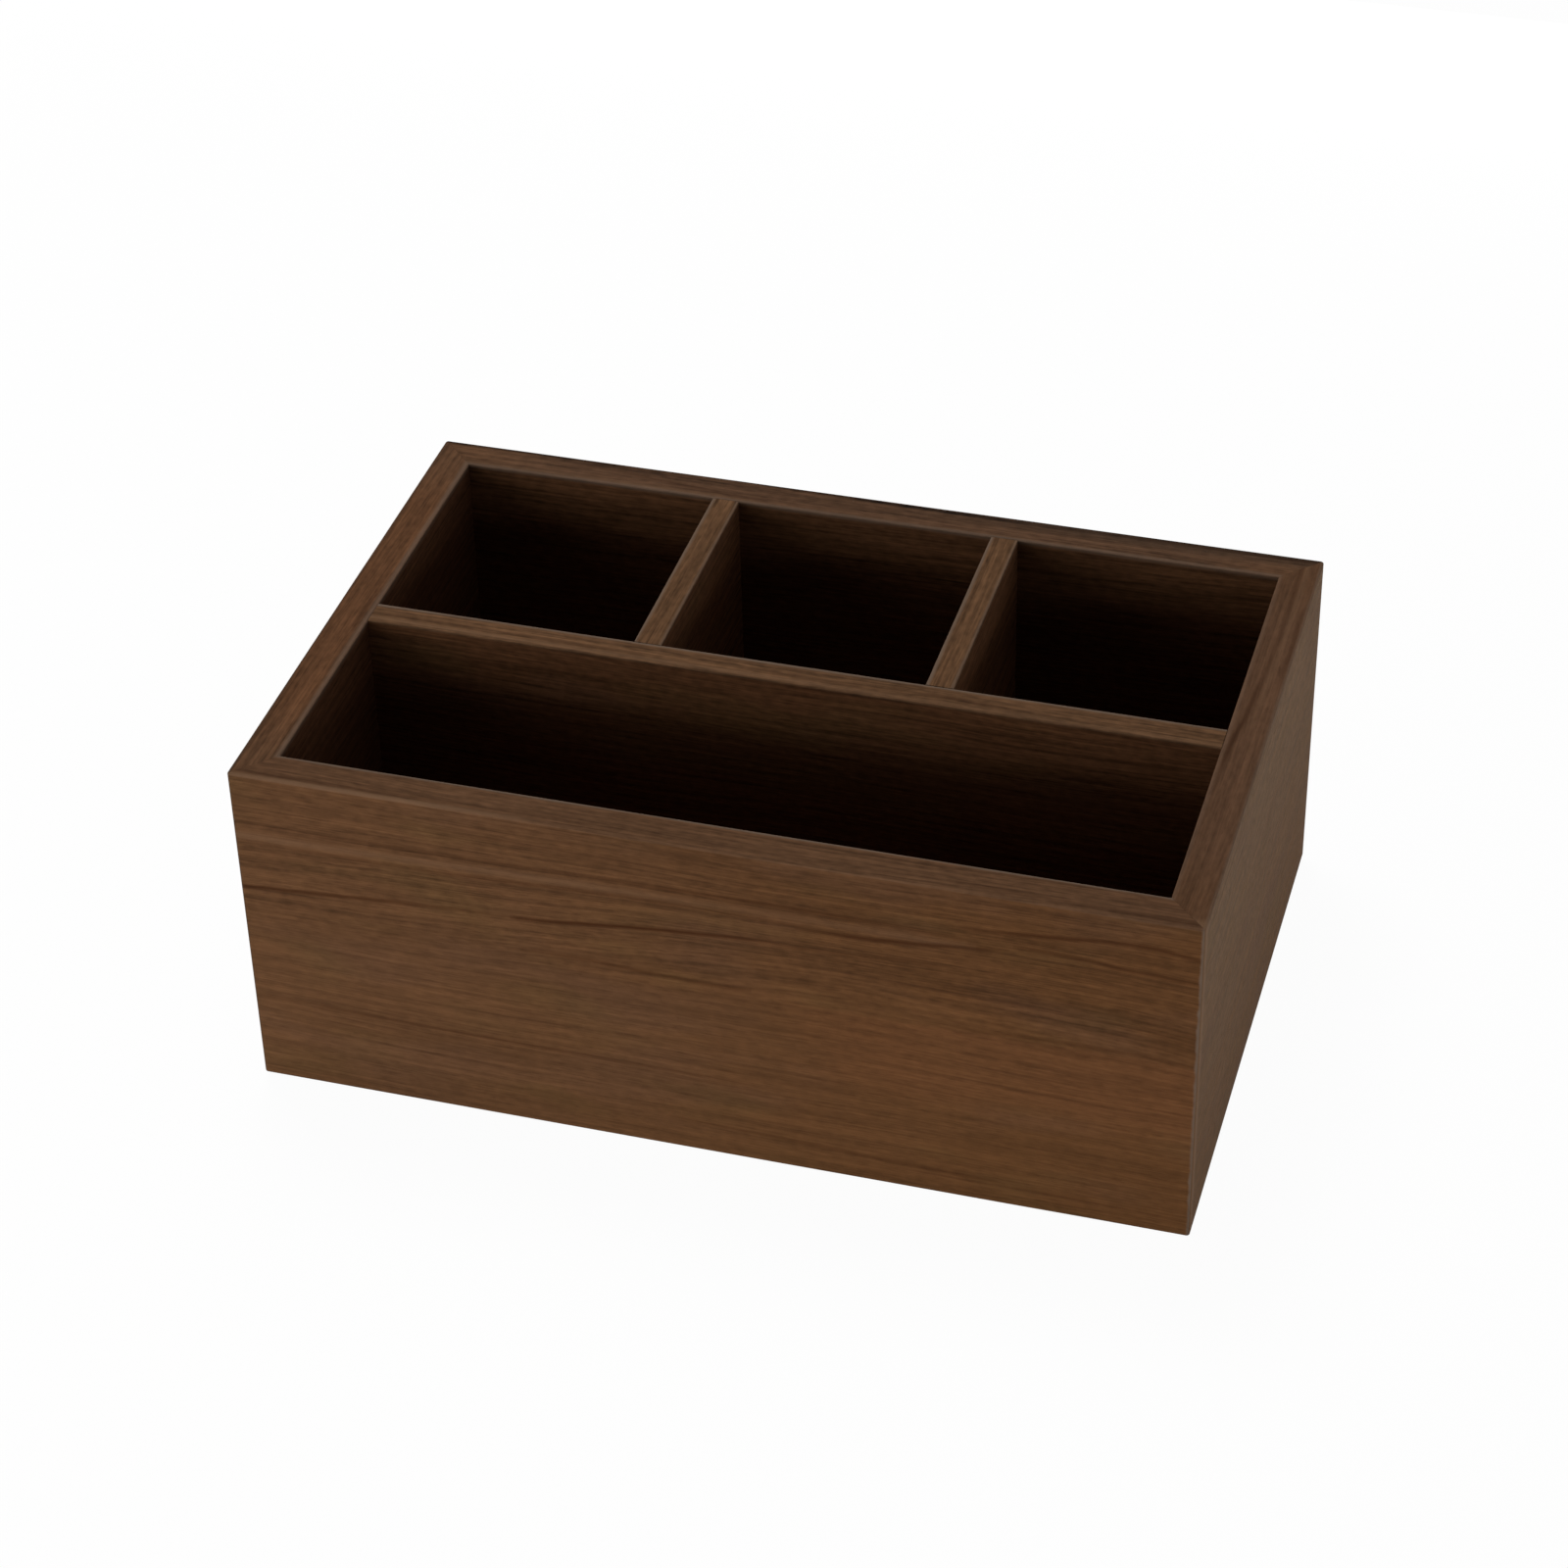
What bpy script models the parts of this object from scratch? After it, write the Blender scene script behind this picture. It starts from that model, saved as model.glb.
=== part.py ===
"""A wooden organizer box: one long front compartment and a row of equal ones behind it.

The four walls are mitred and held by splines hidden in the mitres. The bottom panel sits in
grooves in the walls. The dividers stand on the panel and have stub tongues at their ends, in
mortises that stop below the rim, so that every joint shows as a plain line from above.

Metres. +X is the box's length, +Y goes to the back and +Z up. The origin is at the middle of
the box, level with the undersides of the foot pads.
"""

from math import asin, cos, pi, sin, sqrt

import bmesh
import bpy
from mathutils import Vector

# The box
BOX_LENGTH = 0.300
BOX_DEPTH = 0.195
WALL_HEIGHT = 0.119
WALL_THICKNESS = 0.0125
CORNER_RADIUS = 0.001
EDGE_EASING = 0.0006
JOINT_GAP = 0.0003

# The dividers, whose tops lie level with the rim
FRONT_COMPARTMENT_DEPTH = 0.0745
REAR_COMPARTMENTS = 3
LONG_DIVIDER_THICKNESS = 0.010
CROSS_DIVIDER_THICKNESS = 0.009
DIVIDER_EASING = 0.0005

# The stub tongues at the dividers' ends
LONG_TONGUE_THICKNESS = 0.005
LONG_TONGUE_LENGTH = 0.005
CROSS_TONGUE_THICKNESS = 0.0045
CROSS_TONGUE_LENGTH = 0.004
TONGUE_BELOW_RIM = 0.012
TONGUE_ABOVE_PANEL = 0.008

# The bottom panel and the grooves that hold it
PANEL_THICKNESS = 0.004
PANEL_IN_GROOVE = 0.005
GROOVE_ABOVE_EDGE = 0.006

# The splines hidden in the mitres
SPLINE_THICKNESS = 0.003
SPLINE_REACH = 0.0045
SPLINE_BELOW_RIM = 0.015
SPLINE_ABOVE_PANEL = 0.010

# The felt pads under the corners
PAD_DIAMETER = 0.010
PAD_THICKNESS = 0.0015
PAD_FROM_SIDE = 0.0095
PAD_EASING = 0.0003

# How finely the round forms are cut, and how far joined solids run into each other
EASING_SEGMENTS = 3
HALF_CORNER_SEGMENTS = 3
PAD_SEGMENTS = 32
JOIN_OVERLAP = 0.003
WELD_DISTANCE = 0.000001
FLAT_ANGLE = 0.001
ROUND_ANGLE = 0.6

# Heights and places that follow from the sizes above
EDGE_Z = PAD_THICKNESS + JOINT_GAP
RIM_Z = EDGE_Z + WALL_HEIGHT
PANEL_LOW_Z = EDGE_Z + GROOVE_ABOVE_EDGE + JOINT_GAP
PANEL_TOP_Z = PANEL_LOW_Z + PANEL_THICKNESS
DIVIDER_LOW_Z = PANEL_TOP_Z + JOINT_GAP
INNER_LENGTH = BOX_LENGTH - 2 * WALL_THICKNESS
INNER_DEPTH = BOX_DEPTH - 2 * WALL_THICKNESS
FRONT_INNER_Y = -INNER_DEPTH / 2
BACK_INNER_Y = INNER_DEPTH / 2
LONG_DIVIDER_FRONT_Y = FRONT_INNER_Y + FRONT_COMPARTMENT_DEPTH
LONG_DIVIDER_BACK_Y = LONG_DIVIDER_FRONT_Y + LONG_DIVIDER_THICKNESS
CROSS_DIVIDERS = REAR_COMPARTMENTS - 1
REAR_WIDTH = (INNER_LENGTH - CROSS_DIVIDERS * CROSS_DIVIDER_THICKNESS) / REAR_COMPARTMENTS

# Colours measured on the wood, and the two pieces that the wood hides
WALNUT_FRONT = (0.100, 0.045, 0.021)
WALNUT_SIDE = (0.106, 0.060, 0.034)
WALNUT_BACK = (0.080, 0.038, 0.019)
WALNUT_DIVIDER = (0.089, 0.050, 0.027)
PLYWOOD = (0.150, 0.085, 0.045)
BIRCH = (0.420, 0.270, 0.140)
FELT = (0.030, 0.027, 0.024)
WOOD_ROUGHNESS = 0.5
RAW_ROUGHNESS = 0.7
FELT_ROUGHNESS = 0.95


def clear_scene():
    """Removes whatever the file opened with."""
    for thing in list(bpy.data.objects):
        bpy.data.objects.remove(thing, do_unlink=True)


def add_collection(name):
    """A new collection in the scene."""
    group = bpy.data.collections.new(name)
    bpy.context.scene.collection.children.link(group)
    return group


def add_frame(name, group):
    """The empty that every piece is parented to."""
    frame = bpy.data.objects.new(name, None)
    group.objects.link(frame)
    return frame


def paint(piece, colour, roughness):
    """Gives a piece a material of its own."""
    material = bpy.data.materials.new(piece.name + "_finish")
    material.use_nodes = True
    shader = material.node_tree.nodes["Principled BSDF"]
    shader.inputs["Base Color"].default_value = (*colour, 1)
    shader.inputs["Roughness"].default_value = roughness
    shader.inputs["Metallic"].default_value = 0
    material.diffuse_color = (*colour, 1)
    piece.data.materials.append(material)


def add_mesh_object(name, shape, group):
    """Turns a bmesh into an object and frees it."""
    mesh = bpy.data.meshes.new(name)
    shape.to_mesh(mesh)
    shape.free()
    thing = bpy.data.objects.new(name, mesh)
    group.objects.link(thing)
    return thing


def add_box(name, low, high, group):
    """A box between two corners, with its origin at its middle."""
    low = Vector(low)
    high = Vector(high)
    shape = bmesh.new()
    bmesh.ops.create_cube(shape, size=1)
    bmesh.ops.scale(shape, vec=high - low, verts=shape.verts)
    thing = add_mesh_object(name, shape, group)
    thing.location = (low + high) / 2
    return thing


def add_guide(thing):
    """Marks a cutter as a guide that isn't part of the box."""
    thing.hide_render = True
    thing.display_type = "WIRE"
    return thing


def combine(piece, other, operation):
    """Adds a Boolean modifier that works on a piece with a guide."""
    step = piece.modifiers.new(operation.lower() + "_" + other.name, "BOOLEAN")
    step.operation = operation
    step.object = other
    step.solver = "EXACT"


def cut(piece, cutters):
    """Cuts each cutter out of a piece."""
    for cutter in cutters:
        combine(piece, cutter, "DIFFERENCE")


def grown(low, high):
    """A box's corners moved out by the joint gap, for the hole that the box fits."""
    gap = Vector((JOINT_GAP, JOINT_GAP, JOINT_GAP))
    return Vector(low) - gap, Vector(high) + gap


def ease_edges(piece, width, is_eased):
    """Rounds the edges for which is_eased(end, other end) holds."""
    mesh = piece.data
    weights = mesh.attributes.new("bevel_weight_edge", "FLOAT", "EDGE")
    for edge in mesh.edges:
        ends = [mesh.vertices[index].co for index in edge.vertices]
        weights.data[edge.index].value = 1 if is_eased(*ends) else 0
    step = piece.modifiers.new("eased_edges", "BEVEL")
    step.limit_method = "WEIGHT"
    step.width = width
    step.segments = EASING_SEGMENTS


def wall_outline(length):
    """A mitred wall seen from above: outer face at y = 0, inner face towards +y.

    Each mitre keeps half the joint gap to the diagonal, and the outer corner is half a round.
    """
    set_back = JOINT_GAP / 2
    inner_x = length / 2 - WALL_THICKNESS - set_back * sqrt(2)
    arc_x = length / 2 - CORNER_RADIUS
    arc_start = -pi / 4 - asin(set_back / CORNER_RADIUS)
    arc_turn = -pi / 2 - arc_start
    right = [(inner_x, WALL_THICKNESS)]
    for count in range(HALF_CORNER_SEGMENTS + 1):
        angle = arc_start + arc_turn * count / HALF_CORNER_SEGMENTS
        x = arc_x + CORNER_RADIUS * cos(angle)
        y = CORNER_RADIUS + CORNER_RADIUS * sin(angle)
        right.append((x, y))
    left = [(-x, y) for x, y in reversed(right)]
    return right + left


def add_outline_curve(name, points, height, group):
    """A flat outline as a filled curve, extruded to a board."""
    curve = bpy.data.curves.new(name + "_outline", "CURVE")
    curve.dimensions = "2D"
    curve.fill_mode = "BOTH"
    curve.extrude = height / 2
    spline = curve.splines.new("POLY")
    spline.points.add(len(points) - 1)
    for point, (x, y) in zip(spline.points, points):
        point.co = (x, y, 0, 1)
    spline.use_cyclic_u = True
    thing = bpy.data.objects.new(name + "_outline", curve)
    group.objects.link(thing)
    return thing


def mesh_from_curve(name, source, group):
    """Replaces a curve object by a welded mesh object with flat faces left whole."""
    bpy.context.view_layer.update()
    evaluated = source.evaluated_get(bpy.context.evaluated_depsgraph_get())
    mesh = bpy.data.meshes.new_from_object(evaluated)
    mesh.name = name
    shape = bmesh.new()
    shape.from_mesh(mesh)
    bmesh.ops.remove_doubles(shape, verts=shape.verts, dist=WELD_DISTANCE)
    bmesh.ops.dissolve_limit(shape, angle_limit=FLAT_ANGLE, verts=shape.verts, edges=shape.edges)
    bmesh.ops.recalc_face_normals(shape, faces=shape.faces)
    shape.to_mesh(mesh)
    shape.free()
    thing = bpy.data.objects.new(name, mesh)
    thing.matrix_world = source.matrix_world.copy()
    group.objects.link(thing)
    bpy.data.objects.remove(source, do_unlink=True)
    return thing


def is_eased_on_wall(end, other):
    """Whether a wall's edge is one of its long ones at the rim, or its outer one at the foot."""
    runs_along = abs(end.y - other.y) < WALL_THICKNESS / 2
    at_rim = end.z > 0 and other.z > 0
    at_foot = end.z < 0 and other.z < 0
    outer = end.y < WALL_THICKNESS / 2
    return runs_along and (at_rim or at_foot and outer)


def add_wall(name, length, out_from_middle, turn, colour, group):
    """A mitred wall, turned about Z so that its outer face looks out of the box."""
    outline = add_outline_curve(name, wall_outline(length), WALL_HEIGHT, group)
    wall = mesh_from_curve(name, outline, group)
    ease_edges(wall, EDGE_EASING, is_eased_on_wall)
    outward = Vector((sin(turn), -cos(turn), 0))
    wall.location = outward * out_from_middle + Vector((0, 0, EDGE_Z + WALL_HEIGHT / 2))
    wall.rotation_euler = (0, 0, turn)
    paint(wall, colour, WOOD_ROUGHNESS)
    return wall


def add_walls(group):
    """The four walls by name."""
    half_length = BOX_LENGTH / 2
    half_depth = BOX_DEPTH / 2
    return {
        "front": add_wall("front_wall", BOX_LENGTH, half_depth, 0, WALNUT_FRONT, group),
        "right": add_wall("right_wall", BOX_DEPTH, half_length, pi / 2, WALNUT_SIDE, group),
        "back": add_wall("back_wall", BOX_LENGTH, half_depth, pi, WALNUT_BACK, group),
        "left": add_wall("left_wall", BOX_DEPTH, half_length, -pi / 2, WALNUT_SIDE, group),
    }


def panel_corners():
    """The bottom panel's lowest and highest corner."""
    half_length = INNER_LENGTH / 2 + PANEL_IN_GROOVE
    half_depth = INNER_DEPTH / 2 + PANEL_IN_GROOVE
    return (-half_length, -half_depth, PANEL_LOW_Z), (half_length, half_depth, PANEL_TOP_Z)


def add_bottom_panel(walls, parts, guides):
    """The panel and the groove that it sits in, cut all round the walls."""
    low, high = panel_corners()
    panel = add_box("bottom_panel", low, high, parts)
    paint(panel, PLYWOOD, RAW_ROUGHNESS)
    groove = add_guide(add_box("panel_groove", *grown(low, high), guides))
    for wall in walls.values():
        cut(wall, [groove])


def add_spline(side, end, walls, parts, guides):
    """One hidden spline across the middle of a mitre, and its slot in both walls."""
    x_sign = 1 if side == "right" else -1
    y_sign = 1 if end == "back" else -1
    middle_x = x_sign * (BOX_LENGTH - WALL_THICKNESS) / 2
    middle_y = y_sign * (BOX_DEPTH - WALL_THICKNESS) / 2
    low_z = PANEL_TOP_Z + SPLINE_ABOVE_PANEL
    high_z = RIM_Z - SPLINE_BELOW_RIM
    low = (-SPLINE_REACH, -SPLINE_THICKNESS / 2, low_z)
    high = (SPLINE_REACH, SPLINE_THICKNESS / 2, high_z)
    name = "corner_spline_" + end + "_" + side
    spline = add_box(name, low, high, parts)
    slot = add_guide(add_box(name + "_slot", *grown(low, high), guides))
    for thing in (spline, slot):
        thing.location += Vector((middle_x, middle_y, 0))
        thing.rotation_euler = (0, 0, -x_sign * y_sign * pi / 4)
    paint(spline, BIRCH, RAW_ROUGHNESS)
    cut(walls[side], [slot])
    cut(walls[end], [slot])


def is_top_long_edge(along):
    """A test for a divider's two long top edges; along is 0 for X and 1 for Y."""
    def test(end, other):
        at_top = end.z > 0 and other.z > 0
        return at_top and end[along] * other[along] < 0
    return test


def add_divider(name, low, high, along, colour, parts):
    """A divider's board, without its tongues."""
    board = add_box(name, low, high, parts)
    ease_edges(board, DIVIDER_EASING, is_top_long_edge(along))
    paint(board, colour, WOOD_ROUGHNESS)
    return board


def tongue_corners(root, direction, along, middle, thickness, length):
    """The part of a stub tongue that stands out of a divider's end, which lies at root."""
    across = 1 - along
    low = Vector((0, 0, DIVIDER_LOW_Z + TONGUE_ABOVE_PANEL))
    high = Vector((0, 0, RIM_Z - TONGUE_BELOW_RIM))
    low[along] = min(root, root + direction * length)
    high[along] = max(root, root + direction * length)
    low[across] = middle - thickness / 2
    high[across] = middle + thickness / 2
    return low, high


def add_tongue(board, name, corners, direction, along, housed_in, guides):
    """Joins a tongue to a board and cuts its mortise in the piece that it is housed in."""
    low, high = corners
    mortise = add_guide(add_box(name + "_mortise", *grown(low, high), guides))
    cut(housed_in, [mortise])
    low = low.copy()
    high = high.copy()
    if direction > 0:
        low[along] -= JOIN_OVERLAP
    else:
        high[along] += JOIN_OVERLAP
    tongue = add_guide(add_box(name + "_tongue", low, high, guides))
    combine(board, tongue, "UNION")


def add_long_divider(walls, parts, guides):
    """The divider between the front compartment and the row behind it."""
    half_length = INNER_LENGTH / 2 - JOINT_GAP
    low = (-half_length, LONG_DIVIDER_FRONT_Y, DIVIDER_LOW_Z)
    high = (half_length, LONG_DIVIDER_BACK_Y, RIM_Z)
    board = add_divider("long_divider", low, high, 0, WALNUT_DIVIDER, parts)
    middle = (LONG_DIVIDER_FRONT_Y + LONG_DIVIDER_BACK_Y) / 2
    for side, direction in (("left", -1), ("right", 1)):
        corners = tongue_corners(
            direction * half_length, direction, 0, middle, LONG_TONGUE_THICKNESS, LONG_TONGUE_LENGTH
        )
        add_tongue(board, "long_divider_" + side, corners, direction, 0, walls[side], guides)
    return board


def add_cross_divider(name, middle, long_divider, back_wall, parts, guides):
    """One of the dividers between the rear compartments."""
    front_y = LONG_DIVIDER_BACK_Y + JOINT_GAP
    back_y = BACK_INNER_Y - JOINT_GAP
    half_thickness = CROSS_DIVIDER_THICKNESS / 2
    low = (middle - half_thickness, front_y, DIVIDER_LOW_Z)
    high = (middle + half_thickness, back_y, RIM_Z)
    board = add_divider(name, low, high, 1, WALNUT_DIVIDER, parts)
    ends = (("front", front_y, -1, long_divider), ("back", back_y, 1, back_wall))
    for end, root, direction, housed_in in ends:
        corners = tongue_corners(
            root, direction, 1, middle, CROSS_TONGUE_THICKNESS, CROSS_TONGUE_LENGTH
        )
        add_tongue(board, name + "_" + end, corners, direction, 1, housed_in, guides)


def add_cross_dividers(long_divider, back_wall, parts, guides):
    """The dividers that part the rear space into equal widths."""
    pitch = REAR_WIDTH + CROSS_DIVIDER_THICKNESS
    first = -INNER_LENGTH / 2 + REAR_WIDTH + CROSS_DIVIDER_THICKNESS / 2
    for count in range(CROSS_DIVIDERS):
        middle = first + count * pitch
        name = "cross_divider_" + str(count + 1)
        add_cross_divider(name, middle, long_divider, back_wall, parts, guides)


def add_foot_pad(side, end, parts):
    """A round felt pad on the underside of a corner, across the mitre."""
    x_sign = 1 if side == "right" else -1
    y_sign = 1 if end == "back" else -1
    shape = bmesh.new()
    bmesh.ops.create_cone(
        shape,
        cap_ends=True,
        segments=PAD_SEGMENTS,
        radius1=PAD_DIAMETER / 2,
        radius2=PAD_DIAMETER / 2,
        depth=PAD_THICKNESS,
    )
    pad = add_mesh_object("foot_pad_" + end + "_" + side, shape, parts)
    pad.data.shade_smooth()
    pad.data.set_sharp_from_angle(angle=ROUND_ANGLE)
    ease_edges(pad, PAD_EASING, lambda end, other: end.z > 0 and other.z > 0)
    pad.location = (
        x_sign * (BOX_LENGTH / 2 - PAD_FROM_SIDE),
        y_sign * (BOX_DEPTH / 2 - PAD_FROM_SIDE),
        PAD_THICKNESS / 2,
    )
    paint(pad, FELT, FELT_ROUGHNESS)


def build():
    """The whole box."""
    clear_scene()
    parts = add_collection("organizer")
    guides = add_collection("organizer_cutters")
    walls = add_walls(parts)
    add_bottom_panel(walls, parts, guides)
    for side in ("left", "right"):
        for end in ("front", "back"):
            add_spline(side, end, walls, parts, guides)
            add_foot_pad(side, end, parts)
    long_divider = add_long_divider(walls, parts, guides)
    add_cross_dividers(long_divider, walls["back"], parts, guides)
    frame = add_frame("organizer_frame", parts)
    for piece in parts.objects:
        if piece is not frame:
            piece.parent = frame


build()
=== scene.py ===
"""The looks of a wooden organizer box: walnut boards, a veneered bottom, birch splines and felt pads.

Metres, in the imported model's frame: +X along the box, +Y to the back and +Z up.
"""

from math import ceil, cos, pi, radians, sin
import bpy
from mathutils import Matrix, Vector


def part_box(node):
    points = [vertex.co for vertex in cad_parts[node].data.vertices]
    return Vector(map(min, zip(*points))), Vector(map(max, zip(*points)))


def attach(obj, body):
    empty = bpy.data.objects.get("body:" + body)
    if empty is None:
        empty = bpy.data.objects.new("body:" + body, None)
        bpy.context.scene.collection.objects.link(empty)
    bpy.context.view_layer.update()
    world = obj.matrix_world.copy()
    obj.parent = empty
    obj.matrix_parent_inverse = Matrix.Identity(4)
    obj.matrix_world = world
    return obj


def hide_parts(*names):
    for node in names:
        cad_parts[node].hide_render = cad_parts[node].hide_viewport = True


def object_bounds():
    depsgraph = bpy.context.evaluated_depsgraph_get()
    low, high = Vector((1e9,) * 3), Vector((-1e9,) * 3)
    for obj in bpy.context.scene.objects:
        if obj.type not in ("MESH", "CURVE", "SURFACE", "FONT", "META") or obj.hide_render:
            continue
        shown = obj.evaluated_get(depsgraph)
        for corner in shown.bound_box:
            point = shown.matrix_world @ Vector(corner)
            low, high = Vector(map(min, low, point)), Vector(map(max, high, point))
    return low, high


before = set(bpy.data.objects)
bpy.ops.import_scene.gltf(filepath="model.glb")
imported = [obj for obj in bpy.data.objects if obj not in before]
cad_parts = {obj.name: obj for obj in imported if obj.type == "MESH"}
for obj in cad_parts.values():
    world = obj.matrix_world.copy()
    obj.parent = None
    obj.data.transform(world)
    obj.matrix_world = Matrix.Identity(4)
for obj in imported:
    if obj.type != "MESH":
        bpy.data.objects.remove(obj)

from types import SimpleNamespace

import bmesh
import bpy
from mathutils import Euler, Matrix, Vector, noise

CAD_LOW, CAD_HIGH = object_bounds()
MM = 0.001

# The boards' forms
CORNER_RADIUS = 1.0 * MM
WALL_EASING = 0.6 * MM
DIVIDER_EASING = 0.5 * MM
PANEL_EASING = 0.25 * MM
EASING_SEGMENTS = 5
EASING_WANDER_SHARE = 0.2
EASING_WANDER_LENGTH = 35 * MM
GUARD_WIDTH = 0.8 * MM
STATION_SPACING = 6 * MM
EASING_STEADY_END = 4 * STATION_SPACING
EASING_NOISE_EDGE_STEP = 3.7
EASING_NOISE_BOARD_STEP = 100
END_ZONE = 2 * MM
END_STEPS = 2
ARC_STEPS = 4
JOINT_GAP = 0.03 * MM
SHARP_ANGLE = radians(35)

# The hidden joints
LONG_TONGUE_THICKNESS = 5 * MM
CROSS_TONGUE_THICKNESS = 4.5 * MM
TONGUE_BELOW_RIM = 12 * MM
TONGUE_ABOVE_FOOT = 7.7 * MM
TONGUE_ROOT = 3 * MM
SPLINE_LENGTH = 9 * MM
SPLINE_THICKNESS = 3 * MM
FIT = 0.15 * MM
SPLINE_SEED = 131.0
SPLINE_SEED_STEP = 5

# The felt pads
PAD_SIDES = 72
PAD_ROUNDING = 0.35 * MM
PAD_ROUNDING_ANGLES = (0.0, 0.8, pi / 2)
PAD_INNER_SHARES = (0.3, 0.6, 0.85)
PAD_WANDER = 0.12 * MM
PAD_CUT_BACK = 0.7
PAD_RAGGEDNESS = 0.6
PAD_RAGGED_SCALE = 3
PAD_FUZZ = 0.4
PAD_FUZZ_SCALE = 14
PAD_FUZZ_UP_SCALE = 2000
PAD_SEED = 101.0
PAD_SEED_STEP = 7

# The camera
CAMERA_AIM = Vector((-0.0055, 0.0054, 0.0690))
CAMERA_DISTANCE = 1.2803
CAMERA_AZIMUTH = radians(16.934)
CAMERA_ELEVATION = radians(36.867)
CAMERA_ROLL = radians(-1.491)
CAMERA_LENS = 91.61
SENSOR_WIDTH = 36

# The studio
FLOOR_SIZE = 12
FLOOR_DROP = 0.2 * MM
FLOOR_COLOUR = (0.8, 0.8, 0.8)
FLOOR_GLOW = 0.965
ROOM_LIGHT = 0.03

# The softboxes: bearing from the front and elevation in degrees, distance, height of what they face, width,
# height and radiance
SOFTBOXES = {
    "front_low": (0, 0, 0.75, 0.055, 1.4, 0.11, 4.8),
    "right_low": (90, 0, 0.80, 0.075, 1.2, 0.09, 2.4),
    "left_low": (-90, 0, 0.80, 0.055, 1.2, 0.11, 3.0),
    "back_low": (180, 0, 0.75, 0.055, 1.4, 0.11, 4.5),
    "band_far_left": (-75, 7, 1.26, 0.12, 0.65, 0.20, 3.2),
    "band_left": (-45, 8, 1.26, 0.12, 0.65, 0.26, 5.9),
    "band_upper_left": (-45, 20, 1.33, 0.12, 0.65, 0.20, 1.6),
    "band_front": (-15, 9, 1.27, 0.12, 0.65, 0.26, 3.55),
    "band_right": (45, 11, 1.27, 0.12, 0.65, 0.16, 2.85),
    "band_back_right": (104, 7, 1.28, 0.12, 0.65, 0.17, 4.9),
    "top": (-140, 69.5, 2.22, 0.12, 0.8, 0.9, 13.5),
    "top_back": (-160, 65, 1.25, 0.12, 0.5, 0.8, 2.4),
}

# Linear colours
FRONT_WALNUT = (0.0955, 0.0449, 0.0199)
FRONT_WALNUT_RIGHT = (0.0915, 0.0405, 0.0155)
FRONT_BRICK = (0.1085, 0.0460, 0.0185)
FRONT_RIM = (0.0995, 0.0500, 0.0256)
# The right wall's outer face, paler and greyer at its top than at its foot: painted light and sheen
SIDE_TOP_PAINTED_SHEEN = (0.1160, 0.0660, 0.0330)
SIDE_FOOT = (0.0950, 0.0465, 0.0182)
SIDE_RIM = (0.1000, 0.0515, 0.0287)
LEFT_RIM = (0.1010, 0.0460, 0.0220)
BACK_RIM = (0.0775, 0.0402, 0.0225)
CORNER_RIM = (0.0950, 0.0475, 0.0248)
SHADED_RIM = (0.0460, 0.0275, 0.0172)
DIVIDER_RIM = (0.1030, 0.0528, 0.0263)
INSIDE_WALNUT = (0.0870, 0.0384, 0.0176)
# The cross dividers' faces: their own colour, partly lightened as painted light so they come out lighter than
# their tops
CROSS_WALNUT_AND_PAINTED_LIGHT = (0.1155, 0.0525, 0.0250)
INSIDE_BACK = (0.0775, 0.0355, 0.0163)
INSIDE_LEFT = (0.0735, 0.0320, 0.0158)
OUTSIDE_WALNUT = (0.0960, 0.0450, 0.0200)
VEIN_BROWN = (0.036, 0.0150, 0.0070)
LINE_BROWN = (0.034, 0.0110, 0.0035)
PALE_SAPWOOD = (0.148, 0.0800, 0.0430)
PLUM_BROWN = (0.086, 0.0430, 0.0235)
OLIVE_BROWN = (0.088, 0.0500, 0.0190)
# Painted highlight and sheen for the boards' edges
PAINTED_EDGE_HIGHLIGHT = (0.128, 0.0740, 0.0420)
PAINTED_EDGE_SHEEN = (0.136, 0.0950, 0.0690)
# Pale grain streaks, also used as a painted highlight on the front rim's outer edge and the right wall's
# front corner
PALE_STREAK_AND_HIGHLIGHT = (0.165, 0.0940, 0.0530)
# Painted shade for the boards' edges
PAINTED_EDGE_SHADE = (0.040, 0.0240, 0.0150)
BIRCH_LIGHT = (0.52, 0.36, 0.20)
BIRCH_DARK = (0.36, 0.22, 0.11)
FELT_LIGHT = (0.060, 0.054, 0.048)
FELT_DARK = (0.018, 0.016, 0.014)

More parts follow.
